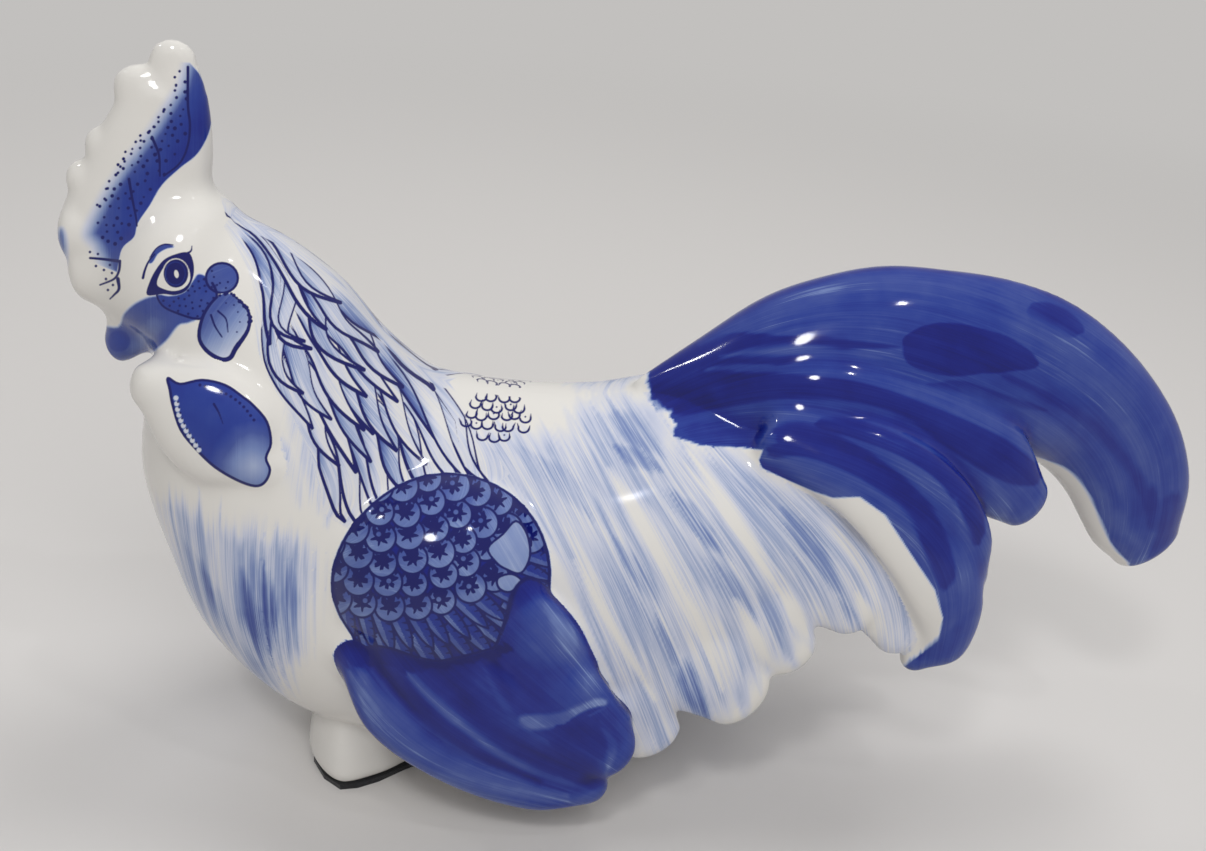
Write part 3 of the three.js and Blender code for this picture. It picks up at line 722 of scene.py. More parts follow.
def measure(places, path):
    """The distance of each place from a path, the share along it, and its side of it"""
    best = np.full(len(places), 1e9)
    share = np.zeros(len(places))
    side = np.zeros(len(places))
    lengths = np.linalg.norm(np.diff(path, axis=0), axis=1)
    before = np.concatenate([[0], np.cumsum(lengths)])
    for k, length in enumerate(lengths):
        if length == 0:
            continue
        way = path[k + 1] - path[k]
        offset = places - path[k]
        t = np.clip((offset @ way) / length**2, 0, 1)
        away = np.hypot(*(offset - t[:, None] * way).T)
        closer = away < best
        best[closer] = away[closer]
        share[closer] = (before[k] + t[closer] * length) / before[-1]
        side[closer] = np.sign(way[0] * offset[closer, 1] - way[1] * offset[closer, 0])
    return best, share, side


def depth_in(places, outline):
    """How far each place is inside a closed outline, below zero outside"""
    away = measure(places, closed(outline))[0]
    return np.where(inside(places, outline), away, -away)


def around(area, outline, margin):
    """The points of an area in and round an outline, and how far each is inside it"""
    here = near(area, outline, margin)
    return here, depth_in(sheet[here], outline)


def soft(value, width):
    t = np.clip(0.5 + value / width, 0, 1)
    return t * t * (3 - 2 * t)


def ragged(here, reach):
    """An uneven reach for each hair of the brush, on the sheet"""
    return reach * np.interp(across[here] / HAIR_WIDTH + MIDDLE_HAIR, np.arange(HAIRS), unevenness)


def line(area, path, thin, thick=None, smooth=True):
    """An ink line that goes from one half width to another"""
    path = curve(path) if smooth else np.asarray(path, float)
    here = near(area, path, NO_INK)
    away, share, _ = measure(sheet[here], path)
    half = thin + ((thin if thick is None else thick) - thin) * share
    ink[here] = np.minimum(ink[here], away - half)


def fill_ink(area, outline):
    here, depth = around(area, outline, NO_INK)
    ink[here] = np.minimum(ink[here], -depth)


def wipe_ink(area, outline):
    here, depth = around(area, outline, NO_INK)
    ink[here] = np.maximum(ink[here], depth)


def dots(area, places, radius):
    for place, r in zip(places, np.broadcast_to(radius, len(places))):
        here = near(area, np.array([place]), 5)
        ink[here] = np.minimum(ink[here], np.hypot(*(sheet[here] - place).T) - r)


def scattered(outline, spacing, margin, tries=500):
    """Dots strewn inside an outline, no closer together than the spacing"""
    outline = np.asarray(outline, float)
    found = []
    for _ in range(tries):
        spot = dice.uniform(outline.min(0), outline.max(0))
        clear = all(np.hypot(*(spot - one)) > spacing for one in found)
        if clear and depth_in(spot[None], outline)[0] > margin:
            found.append(spot)
    return found


def coat(here, tone, cover, dry=None):
    """Takes the points to a tone, and to a dryness of the brush, as far as they are covered"""
    cobalt[here] += (tone - cobalt[here]) * cover
    if dry is not None:
        brush[here] += (dry - brush[here]) * cover


def wash(area, outline, tone, edge, dry=None, uneven=0.0):
    """A coat of one tone inside an outline"""
    here, depth = around(area, outline, edge + 2 * uneven)
    coat(here, tone, soft(depth + ragged(here, uneven), edge), dry)


def outlined(here, depth, pen):
    """An inked outline where the depth is nothing, with the ink inside it wiped away"""
    edge = np.abs(depth) - pen
    ink[here] = np.where(depth > 0, edge, np.minimum(ink[here], edge))


def blade(spine, normal, half):
    """The outline round a spine at a half width, along one side and back along the other"""
    return np.vstack([spine + normal * half[:, None], (spine - normal * half[:, None])[::-1]])


def stroke(area, path, half, tone, taper, edge=1.2, deepen=False):
    """A brush stroke with tapered, uneven ends"""
    path = curve(path)
    here = near(area, path, half * 1.6)
    away, share, _ = measure(sheet[here], path)
    ends = np.minimum(share, 1 - share) + ragged(here, 0.06)
    width = half * np.clip(ends / taper, 0, 1) ** 0.7
    cover = soft(width - away, half * edge)
    if deepen:
        cobalt[here] = np.maximum(cobalt[here], tone * cover)
    else:
        coat(here, tone, cover)


# The reach on the sheet that a family of strokes is scaled by, and how far its fit is calmed
FLOW_REACH, FLOW_CALM = 150, 0.3


def flow(area, guides):
    """Coordinates along and across a family of strokes, fitted through guide strokes"""
    centre = np.mean([np.mean(path, axis=0) for _, path in guides], axis=0)

    def terms(places):
        x, y = ((places - centre) / FLOW_REACH).T
        return np.column_stack([x**i * y**j for i in range(5) for j in range(5 - i)])

    rows, known = [], []
    for value, path in guides:
        path = curve(path)
        gone = np.concatenate([[0], np.cumsum(np.linalg.norm(np.diff(path, axis=0), axis=1))])
        rows.append(path)
        known.append(np.column_stack([np.full(len(path), float(value)), gone]))
    fitted = terms(np.concatenate(rows))
    calm = np.eye(fitted.shape[1]) * FLOW_CALM
    found = terms(sheet[area]) @ np.linalg.solve(fitted.T @ fitted + calm, fitted.T @ np.concatenate(known))
    across[area] = found[:, 0] * SHEET_UNIT
    along[area] = found[:, 1] * SHEET_UNIT


face_area = only(on("head", "beak", "comb", "body_shell"), sheet[:, 0] < 300)
wing_area = on("wing_coverts", "wing_flights")
body_area = np.concatenate([on("body_shell"), wing_area])

# Body strokes run down and back over the flank, thin and dry
FLANK_GUIDES = [
    (0, [(470, 400), (547, 525), (592, 620), (640, 737)]),
    (60, [(560, 400), (625, 525), (665, 605), (697, 670), (712, 725)]),
    (115, [(640, 420), (713, 543), (745, 600), (763, 650), (775, 700)]),
    (165, [(693, 443), (767, 513), (800, 557), (830, 603), (857, 640)]),
    (225, [(800, 450), (880, 530), (910, 583), (923, 630), (915, 665)]),
]
flow(body_area, FLANK_GUIDES)
FLANK = [
    (478, 452), (500, 436), (560, 440), (590, 400), (640, 402), (675, 440), (735, 452), (775, 478),
    (850, 512), (905, 560), (928, 615), (905, 655), (872, 655), (845, 640), (800, 640), (768, 664),
    (735, 700), (700, 730), (655, 752), (620, 720), (590, 640), (555, 560), (520, 500),
]
wash(body_area, ring(FLANK), 0.27, 30, 1.0, 6)
FLANK_STROKES = [
    ([(590, 410), (630, 428), (672, 462)], 24, 0.36),
    ([(602, 440), (640, 460), (668, 474)], 14, 0.40),
    ([(486, 436), (530, 470), (575, 520)], 22, 0.29),
    ([(520, 445), (560, 480), (600, 525)], 18, 0.36),
    ([(545, 452), (592, 505), (620, 550)], 12, 0.34),
    ([(540, 505), (600, 580), (652, 665), (690, 735)], 26, 0.26),
    ([(600, 520), (640, 575), (668, 625)], 12, 0.36),
    ([(650, 600), (672, 650), (690, 690)], 9, 0.38),
    ([(660, 480), (695, 520), (735, 565)], 15, 0.41),
    ([(700, 545), (740, 600), (768, 668)], 17, 0.36),
    ([(676, 650), (694, 695), (708, 728)], 15, 0.45),
    ([(712, 442), (745, 482), (782, 524)], 12, 0.29),
    ([(772, 492), (815, 552), (852, 610)], 17, 0.40),
    ([(780, 540), (815, 590), (850, 645)], 22, 0.33),
    ([(752, 575), (775, 625), (795, 665)], 14, 0.33),
    ([(850, 520), (885, 560), (905, 610)], 14, 0.26),
    ([(895, 560), (918, 600), (925, 640)], 8, 0.31),
    ([(835, 590), (855, 622), (880, 650)], 10, 0.38),
    ([(620, 660), (640, 710), (655, 748)], 16, 0.29),
    ([(720, 640), (735, 680), (745, 715)], 12, 0.29),
    ([(615, 560), (660, 650), (700, 715)], 10, 0.31),
    ([(820, 500), (860, 540), (885, 590)], 10, 0.31),
]
for path, half, tone in FLANK_STROKES:
    stroke(body_area, path, half, tone, 0.4, 1.4, deepen=True)
FLANK_LIGHTS = [
    ([(610, 470), (645, 530), (680, 585)], 8),
    ([(690, 452), (735, 520), (776, 590)], 8),
    ([(735, 600), (758, 640), (775, 672)], 6),
    ([(780, 590), (798, 620), (806, 645)], 7),
    ([(575, 560), (620, 640), (655, 700)], 4),
    ([(858, 594), (872, 622), (880, 650)], 7),
    ([(665, 560), (700, 625), (722, 690)], 4), ([(505, 490), (550, 560), (590, 640)], 8),
]
for path, half in FLANK_LIGHTS:
    stroke(body_area, path, half, 0.03, 0.4, 1.6)

# Breast strokes run straight down all round the breast. Their wash and strokes are brushwork made darker
# as painted shade on the breast, which turns down and away from the light.
BREAST_MIDDLE, BREAST_RADIUS = -95.0, 55.0
breast = only(body_area, sheet[:, 0] < 335)
across[breast] = BREAST_RADIUS * np.arctan2(np.abs(points[breast, 1]), BREAST_MIDDLE - points[breast, 0])
along[breast] = sheet[breast, 1] * SHEET_UNIT
brush[breast] = 0.85
BREAST_WASH_AND_SHADE = [
    (160, 505), (176, 500), (200, 510), (224, 525), (262, 534), (300, 540), (314, 566), (310, 610),
    (304, 648), (288, 664), (284, 690), (268, 700), (246, 676), (215, 640), (184, 570), (168, 535),
]
# The wash is brushwork darkened by painted shade
wash(breast, ring(BREAST_WASH_AND_SHADE), 0.31, 34, 0.85, 6)
BREAST_STROKES_AND_SHADE = [
    ([(250, 535), (258, 600), (268, 672)], 32, 0.44),
    ([(236, 550), (250, 610), (266, 676)], 17, 0.55),
    ([(262, 552), (268, 605), (272, 668)], 13, 0.6),
    ([(288, 540), (290, 600), (288, 662)], 16, 0.46),
    ([(172, 515), (190, 560), (222, 645)], 22, 0.4),
    ([(184, 530), (208, 585), (242, 660)], 14, 0.46),
    ([(236, 630), (254, 665), (280, 700)], 12, 0.42),
    ([(290, 410), (308, 455), (320, 510)], 12, 0.22),
    ([(276, 430), (292, 470), (300, 505)], 9, 0.2), ([(330, 470), (330, 500), (326, 525)], 7, 0.24),
]
# The strokes are brushwork darkened by painted shade
for path, half, tone in BREAST_STROKES_AND_SHADE:
    stroke(breast, path, half, tone, 0.5, 1.9, deepen=True)

# Neck cape, pointed feathers in rows from the nape to the shoulder
CAPE_FRONT = [
    (238, 226), (256, 258), (268, 290), (268, 324), (272, 352), (286, 385), (308, 420), (324, 452),
    (332, 482), (338, 514),
]
CAPE_BACK = [
    (230, 212), (262, 226), (300, 262), (332, 290), (357, 314), (388, 332), (414, 362), (440, 398),
    (468, 440), (497, 486),
]
front_edge, back_edge = curve(CAPE_FRONT), curve(CAPE_BACK)


def in_cape(u, v):
    u, v = np.asarray(u, float), np.asarray(v, float)
    return evenly(front_edge, u) * (1 - v)[..., None] + evenly(back_edge, u) * v[..., None]


cape_area = np.concatenate([body_area, on("head")])
cape_area = only(cape_area, (sheet[:, 0] > 215) & (sheet[:, 0] < 560) & (sheet[:, 1] < 560))
cape_outline = np.vstack([front_edge - [14, 0], [(400, 560)], back_edge[::-1] + [12, -12]])
cape_points = cape_area[inside(sheet[cape_area], cape_outline)]
flow(cape_points, [
    (0, CAPE_FRONT), (40, in_cape(np.linspace(0, 1, 8), np.full(8, 0.33))),
    (80, in_cape(np.linspace(0, 1, 8), np.full(8, 0.66))), (120, CAPE_BACK),
])
brush[cape_points] = 1.0
wash(cape_points, cape_outline, 0.17, 22, 1.0, 4)
ROWS, LAST_ROOT, FEATHER_SPACE, FEATHER_REACH = 5, 0.8, 15.5, 0.4
for row in reversed(range(ROWS)):
    root = row / ROWS * LAST_ROOT
    width = np.linalg.norm(in_cape([root + 0.12], [0]) - in_cape([root + 0.12], [1]))
    columns = max(3, round(width / FEATHER_SPACE))
    for place in range(columns + 1):
        v = (place + (0.5 if row % 2 else 0.0)) / columns
        if v > 1.02:
            continue
        v = np.clip(v + dice.normal(0, 0.02), 0.0, 1.0)
        reach = FEATHER_REACH * dice.uniform(0.82, 1.15)
        s = np.linspace(0, 1, 20)
        u = root + dice.normal(0, 0.028) + s * reach
        held = np.clip(u, 0, 1)
        sway = dice.normal(0, 0.03) * s + dice.normal(5.0, 2.0) / width * np.sin(2 * math.pi * s)
        spine = in_cape(held, np.clip(v + sway, 0, 1)) + (u - held)[:, None] * [110, 300]
        heading = unit(np.gradient(spine, axis=0))
        normal = np.column_stack([-heading[:, 1], heading[:, 0]])
        point = np.cos(np.clip((s - 0.4) / 0.6, 0, 1) * math.pi / 2) ** 0.85
        shape = np.where(s < 0.4, 0.55 + 0.45 * np.sin(s / 0.4 * math.pi / 2), point)
        leaf = blade(spine, normal, np.maximum(width / columns * 0.62 * shape, 0.3))
        here, depth = around(cape_area, leaf, 4)
        if not len(here):
            continue
        away, share, side = measure(sheet[here], spine)
        pen = np.where(side > 0, 0.9 + 1.0 * share, 0.7 + 0.8 * share**3) * dice.uniform(0.85, 1.15)
        pen -= 2.0 * np.clip(0.14 - share, 0, 1) / 0.14
        outlined(here, depth, pen)
        within = depth > 0
        tone = dice.uniform(0.08, 0.32) + 0.16 * np.clip(side * away / 8, 0, 1) + 0.18 * (1 - share) ** 2
        coat(here, tone, np.where(within, np.clip(share / 0.2, 0, 1), 0))
        brush[here] = np.where(within, 0.9, brush[here])
        if dice.random() < 0.25:
            shaft, part, _ = measure(sheet[here], spine[4:13] + normal[4:13] * dice.normal(0, 1.5))
            ink[here] = np.where(within, np.minimum(ink[here], shaft - 0.75 * (1 - part)), ink[here])

# The two sides' feathers fade out into a wash along the middle of the nape
bare = 5.0 - np.abs(points[cape_area, 1])
ink[cape_area] = np.maximum(ink[cape_area], bare / SHEET_UNIT)
coat(cape_area, 0.2, soft(bare - 1, 5) * inside(sheet[cape_area], cape_outline))

# A cluster of small cups on the back, each with two ticks
cluster = only(on("body_shell"), (sheet[:, 0] > 450) & (sheet[:, 0] < 545) & (sheet[:, 1] < 450))
CLUSTER, CLUSTER_REACH = np.array([496, 416]), np.array([33, 25])
CUP_SPACE, CUP_ROW = 11.0, 9.6
for row in range(6):
    for cup in range(7):
        x = 466 + (cup + row % 2 / 2) * CUP_SPACE
        centre = np.array([x, 385 + row * CUP_ROW + cup * 0.9]) + dice.normal(0, 1.2, 2)
        if np.hypot(*((centre - CLUSTER) / CLUSTER_REACH)) > 1:
            continue
        a = np.linspace(0.0, math.pi, 9) + dice.normal(0, 0.15)
        arc = np.column_stack([centre[0] + 5.4 * np.cos(a), centre[1] + 4.4 * np.sin(a)])
        line(cluster, arc, 1.1, smooth=False)
        for end in (arc[0], arc[-1]):
            line(cluster, [end, end + [dice.uniform(-2, 2), -4.0]], 1.1, 0.4, smooth=False)
        if dice.random() < 0.25:
            dots(cluster, [centre + [0, -1.5]], 1.0)
ink[cluster] = np.maximum(ink[cluster], (3.5 - np.abs(points[cluster, 1])) / SHEET_UNIT)

# Comb, a wash with a crisp rear edge and a soft front one, with veins and dots
BAND_REAR = [
    (190, 63), (201, 77), (210, 105), (210, 129), (198, 153), (180, 168), (162, 185), (150, 205),
    (138, 223), (134, 237), (122, 249), (117, 272),
]
BAND_FRONT = [
    (92, 247), (84, 237), (86, 225), (98, 201), (110, 181), (130, 153), (146, 133), (162, 109), (178, 85),
]
crisp = np.vstack([curve(BAND_REAR), [(92, 262), (60, 240), (70, 190), (110, 130), (160, 60)]])
fading = np.vstack([curve(BAND_FRONT), [(188, 50), (260, 60), (260, 200), (170, 290), (110, 290)]])
here, depth = around(face_area, crisp, 4)
front_depth = depth_in(sheet[here], fading)
cover = soft(depth, 1.6) * soft(front_depth - 5, 24)
coat(here, 0.6 + 0.13 * soft(front_depth - 24, 40), cover, 0.15)
comb_area = only(face_area, sheet[:, 1] < 310)
COMB_VEINS = [
    [(188, 67), (188, 105), (190, 125), (188, 145), (180, 163), (164, 176)],
    [(152, 137), (159, 155), (160, 176)], [(129, 179), (132, 197), (136, 217), (137, 226)],
]
for vein in COMB_VEINS:
    line(comb_area, vein, 1.5, 0.9)
SPECKLED = [
    (181, 72), (189, 80), (186, 140), (172, 166), (150, 196), (132, 224), (118, 246), (98, 240), (96, 205),
    (116, 160), (146, 128), (168, 100),
]
speckles = scattered(SPECKLED, 6.6, 1, 900)
dots(comb_area, speckles, dice.uniform(1.2, 2.1, len(speckles)))
FRONT_ROW = [(180, 70), (170, 102), (144, 140), (118, 168), (100, 206)]
front_dots = evenly(curve(FRONT_ROW), np.linspace(0, 1, 19))
dots(comb_area, front_dots + dice.normal(0, 1.6, (19, 2)), 1.5)
COMB_LINES = [
    ([(90, 258), (102, 259), (118, 261)], 1.2, 1.6),
    ([(100, 285), (114, 279), (119, 271), (120, 261)], 0.9, 1.5),
    ([(118, 279), (119, 289), (114, 295), (110, 299)], 2.0, 0.8),
]
for path, thin, thick in COMB_LINES:
    line(comb_area, path, thin, thick)
COMB_DOTS = [
    (90, 252), (98, 254), (96, 266), (104, 270), (110, 265), (112, 273), (106, 279), (113, 285), (108, 290),
]
dots(comb_area, COMB_DOTS, 1.4)
FRONT_SPOT = 61, 252
wash(face_area, oval(*FRONT_SPOT, 6, 24), 0.5, 8, 0.5)

# Beak, with a round nostril
BEAK_WASH = [
    (98, 326), (118, 327), (124, 314), (136, 303), (154, 296), (170, 300), (186, 312), (198, 318),
    (188, 323), (178, 326), (166, 341), (150, 354), (134, 366), (118, 372), (104, 358), (98, 340),
]
beak_area = only(face_area, (sheet[:, 0] < 202) & (sheet[:, 1] > 290) & (sheet[:, 1] < 374))
wash(beak_area, ring(BEAK_WASH), 0.6, 4, 0.12)
BEAK_LIGHT, NOSTRIL = [(136, 332), (156, 316), (166, 328), (150, 346), (130, 354)], (119, 341)
wash(beak_area, ring(BEAK_LIGHT), 0.53, 16)
wash(beak_area, oval(*NOSTRIL, 11), 0.68, 2.5)

# Eye, with its brow and the dotted patch under it
eye_area = only(face_area, sheet[:, 1] < 370)
UNDER_EYE = [
    (157, 294), (162, 305), (174, 312), (198, 319), (211, 312), (217, 295), (210, 280), (199, 274),
    (192, 282), (180, 293), (168, 296),
]
under_eye = ring(UNDER_EYE)
wash(eye_area, under_eye, 0.66, 2.5, 0.12)
line(eye_area, under_eye[:24], 1.0, 1.4, smooth=False)
dots(eye_area, scattered(under_eye, 5.2, 2.5), 1.3)
LIDS = [
    (147, 295), (150, 281), (157, 268), (165, 259), (176, 254), (186, 252), (191, 255), (194, 266),
    (193, 278), (187, 290), (176, 295), (163, 294),
]
EYEBALL = [
    (157, 284), (161, 272), (167, 264), (175, 260), (184, 262), (189, 269), (190, 280), (184, 288),
    (174, 291), (164, 289),
]
lids = ring(LIDS)
fill_ink(eye_area, lids)
LID_TIP = [(186, 254), (191, 251), (192, 246)]
line(eye_area, LID_TIP, 1.4, 0.5)
here, depth = around(eye_area, lids, 3)
cobalt[here] *= 1 - soft(depth, 3)
wipe_ink(eye_area, ring(EYEBALL))
IRIS, PUPIL, GLINT = (176, 273.5), (175.5, 273.5), (176.5, 274)
wipe_ink(eye_area, oval(*IRIS, 13.6, 15.3))
fill_ink(eye_area, oval(*IRIS, 12.4, 14.2))
wash(eye_area, oval(*IRIS, 11.4, 13.2), 0.72, 1)
wipe_ink(eye_area, oval(*PUPIL, 10.2, 12.0))
fill_ink(eye_area, oval(*PUPIL, 9.4, 11.2))
# The pale slit in the pupil is a painted highlight
wash(eye_area, oval(*GLINT, 3.2, 5), 0, 1)
wipe_ink(eye_area, oval(*GLINT, 2.2, 4.2, -0.2))
BROW = [(149, 263), (152, 254), (159, 247), (167, 244), (174, 247), (166, 249), (158, 254), (153, 262)]
wash(eye_area, ring(BROW), 0.62, 1.5)
BROW_LINES = [
    ([(143, 278), (145, 270), (149, 261), (155, 254)], 1.4, 0.7),
    ([(150, 258), (156, 249), (164, 244.5), (173, 245)], 0.8, 0.8),
]
for path, thin, thick in BROW_LINES:
    line(eye_area, path, thin, thick)

# Round lobe and ear leaf behind the eye
LOBE = 222, 278
LOBE_DOTS = [(214, 277), (220, 283), (226, 288), (217, 285), (228, 282), (212, 271)]
lobe = oval(*LOBE, 16, 15)
wash(eye_area, lobe, 0.58, 2, 0.12)
line(eye_area, closed(lobe), 1.3, smooth=False)
dots(eye_area, LOBE_DOTS, 1.2)
EAR = [
    (217, 297), (204, 314), (199, 336), (206, 350), (220, 359), (230, 358), (236, 348), (248, 330),
    (249, 313), (240, 301), (228, 293),
]
EAR_FRONT = 208, 312
ear = ring(EAR)
here, depth = around(eye_area, ear, 3)
lean = np.clip(((sheet[here] - EAR_FRONT) @ [0.6, 0.8]) / 46, 0, 1)
coat(here, 0.6 - 0.42 * lean**1.4, soft(depth, 2), 0.12)
ink[here] = np.where(depth > 0, NO_INK, ink[here])
line(eye_area, ear[:26], 1.4, 2.6, smooth=False)
line(eye_area, ear[25:40], 2.4, 0.8, smooth=False)
beads = evenly(ear[28:], np.linspace(0.1, 0.98, 15)) + dice.normal(0, 0.8, (15, 2))
dots(eye_area, beads, dice.uniform(1.4, 2.3, 15))
EAR_DOTS = [(238, 312), (240, 322), (234, 305), (237, 332), (226, 303)]
dots(eye_area, EAR_DOTS, 1.0)
EAR_LINES = [
    ([(211, 315), (215, 326), (222, 337)], 1.2, 0.8),
    ([(218, 311), (226, 319), (228, 332)], 1.1, 0.7),
]
for path, thin, thick in EAR_LINES:
    line(eye_area, path, thin, thick)

# Wattle leaf, beaded along two edges
wattle_area = only(on("wattle", "body_shell"), sheet[:, 0] < 300)
LEAF = [
    (168, 378), (180, 384), (202, 380), (225, 385), (243, 397), (254, 406), (267, 422), (271, 443),
    (266, 458), (270, 470), (265, 482), (255, 486), (237, 480), (215, 467), (197, 450), (181, 430),
    (173, 406), (170, 390),
]
LEAF_PALE = 254, 466
leaf = ring(LEAF)
here, depth = around(wattle_area, leaf, 3)
fade = np.clip(1 - np.hypot(*(sheet[here] - LEAF_PALE).T) / 46, 0, 1)
coat(here, 0.7 - 0.4 * fade, soft(depth, 2), 0.05)
line(wattle_area, closed(leaf), 1.3, 1.5, smooth=False)
LEAF_VEIN = [(214, 404), (219, 413), (223, 424)]
line(wattle_area, LEAF_VEIN, 1.3, 0.5)
TOP_EDGE = [(200, 385), (214, 389), (230, 396), (243, 406), (254, 420)]
dots(wattle_area, evenly(curve(TOP_EDGE), np.linspace(0, 1, 13)), 1.6)
WHITE_BEADS = [(176, 398), (179, 416), (188, 434), (199, 450)]
for bead in evenly(curve(WHITE_BEADS), np.linspace(0, 1, 11)):
    here = near(wattle_area, np.array([bead]), 6)
    away = np.hypot(*(sheet[here] - bead).T)
    cobalt[here] *= 1 - 0.85 * soft(2.6 - away, 1.4)
    ink[here] = np.maximum(ink[here], 2.4 - away)
DARK_BEADS = [(178, 402), (182, 418), (190, 434), (200, 447)]
dots(wattle_area, evenly(curve(DARK_BEADS), np.linspace(0, 1, 10)), 1.1)

# The wings are painted over the body's strokes
under = cobalt.copy(), brush.copy(), ink.copy()
covert_gap = gap_to("left_wing_coverts", "right_wing_coverts")
flight_gap = gap_to("left_wing_flights", "right_wing_flights")
wing_depth = (gap_to("body_shell") - np.minimum(covert_gap, flight_gap)) / SHEET_UNIT
covert_depth = (flight_gap - covert_gap) / SHEET_UNIT
flight_area = on("wing_flights")
ink[wing_area] = NO_INK

# Wing coverts, cupped scales in arcs over slanting feathers
cobalt[wing_area] = 0.86
brush[wing_area] = 0.2
CROWN = np.array([392, 432])
for radius in (202, 176):
    for a in np.arange(0.2, 2.2, 16 / radius):
        root = CROWN + radius * np.array([math.cos(a), math.sin(a)]) + dice.normal(0, 1.2, 2)
        heading = np.array([math.cos(a - 0.42), math.sin(a - 0.42)])
        normal = np.array([-heading[1], heading[0]])
        s = np.linspace(0, 1, 8)
        half = 7.4 * (1 - s**4) * dice.uniform(0.9, 1.1)
        spine = root + s[:, None] * 48 * heading
        leaf = blade(spine, normal, half)
        here, depth = around(wing_area, leaf, 3)
        if not len(here):
            continue
        off = (sheet[here] - root) @ normal
        cobalt[here] = np.where(depth > 0, np.where(off > 1.5, 0.56, 0.72), cobalt[here])
        outlined(here, depth, 1.1)
        for tick in (12, 20, 28, 36):
            start = root + heading * tick - normal * 6
            line(wing_area, [start, start + normal * 3.8 - heading * 2], 1.2, 0.4, smooth=False)
SCALE_ROWS, FIRST_ARC, ARC_SPACE, SCALE_SPACE, SCALE_SIZE = 7, 34, 23.5, 27.5, 15.2
for row in reversed(range(SCALE_ROWS)):
    radius = FIRST_ARC + ARC_SPACE * row
    step = SCALE_SPACE / radius
    for a in np.arange(-0.3 + (step / 2 if row % 2 else 0), 2.5, step):
        toward = np.array([math.cos(a), math.sin(a)])
        centre = CROWN + radius * toward + dice.normal(0, 1.3, 2)
        size = SCALE_SIZE * dice.uniform(0.9, 1.1)
        cup = oval(*centre, size, size * 0.95, a)
        here = near(wing_area, cup, 3)
        if not len(here):
            continue
        offset = sheet[here] - centre
        reach = np.hypot(*offset.T)
        depth = size - reach
        lengthwise = offset @ toward
        bearing = np.arctan2(offset @ [-toward[1], toward[0]], lengthwise)
        within = depth > 0
        cobalt[here] = np.where(within, 0.51 + 0.07 * soft(-lengthwise, 16), cobalt[here])
        outlined(here, depth, 1.2)
        lean = offset + toward * 2.5
        petals = 8.4 + 2.2 * np.sin(6 * bearing + dice.uniform(0, 6))
        petals += 1.1 * np.sin(11 * bearing + dice.uniform(0, 6))
        blossom = np.minimum(np.hypot(*lean.T) - petals, lengthwise + 8.5 + 1.5 * np.sin(1.3 * offset[:, 0]))
        ink[here] = np.where(within, np.minimum(ink[here], blossom), ink[here])
        if dice.random() < 0.45:
            pip = np.hypot(*(lean + dice.normal(0, 1.2, 2)).T)
            ink[here] = np.maximum(ink[here], np.minimum(2.4 - pip, NO_INK))
PLATES = [
    [(488, 548), (503, 534), (516, 521), (527, 534), (530, 556), (521, 573), (506, 569), (496, 562)],
    [(498, 578), (512, 574), (522, 582), (510, 592), (499, 588)],
]
for plate in PLATES:
    here, depth = around(wing_area, ring(plate), 3)
    coat(here, 0.42, soft(depth, 2))
    outlined(here, depth, 1.2)
coverts = cobalt.copy(), brush.copy(), ink.copy()

# Flight feathers, brushed from under the coverts to the tip
ink[wing_area] = NO_INK
cobalt[wing_area] = 0.85
brush[wing_area] = 0.35
FLIGHT_GUIDES = [
    (0, [(343, 665), (377, 731), (414, 760), (457, 778), (548, 804), (600, 806)]),
    (26, [(356, 655), (430, 705), (500, 750), (585, 790)]),
    (50, [(415, 660), (480, 712), (540, 752), (615, 785)]),
    (80, [(455, 650), (500, 690), (560, 735), (630, 770)]),
    (120, [(505, 610), (540, 650), (590, 700), (640, 745)]),
    (150, [(552, 596), (588, 645), (617, 698), (643, 735)]),
]
flow(flight_area, FLIGHT_GUIDES)
FLIGHT_STROKES_AND_SHADOW = [
    ([(360, 680), (400, 735), (470, 778), (560, 802)], 20, 0.68, 0.3),
    ([(372, 672), (430, 738), (520, 786), (590, 800)], 10, 0.62, 0.4),
    ([(400, 664), (452, 720), (520, 766), (585, 790)], 9, 0.63, 0.4),
    ([(398, 672), (430, 712), (480, 752), (540, 782)], 7, 0.9, 0.5),
    ([(440, 658), (476, 712), (520, 748), (556, 770)], 12, 0.86, 0.4),
    ([(470, 650), (500, 706), (556, 748)], 12, 0.82, 0.4),
    ([(478, 656), (512, 716), (552, 746)], 4, 0.76, 0.5),
    # A painted shadow along the left edge of the upper flight feather
    ([(497, 606), (490, 650), (512, 700)], 9, 0.88, 0.4),
    ([(350, 672), (372, 718), (404, 750), (450, 774)], 5, 0.72, 0.5),
]
for path, half, tone, taper in FLIGHT_STROKES_AND_SHADOW:
    stroke(wing_area, path, half, tone, taper, 1.3)
FLIGHT_TOP = [
    (545, 598), (570, 620), (590, 650), (600, 685), (598, 702), (565, 712), (535, 712), (512, 690),
    (500, 655), (505, 620), (527, 603),
]
wash(wing_area, ring(FLIGHT_TOP), 0.74, 12)
# A painted highlight on the upper flight feather
TOP_HIGHLIGHT = [(545, 612), (572, 645), (588, 690)]
stroke(wing_area, TOP_HIGHLIGHT, 14, 0.66, 0.4, 1.6)
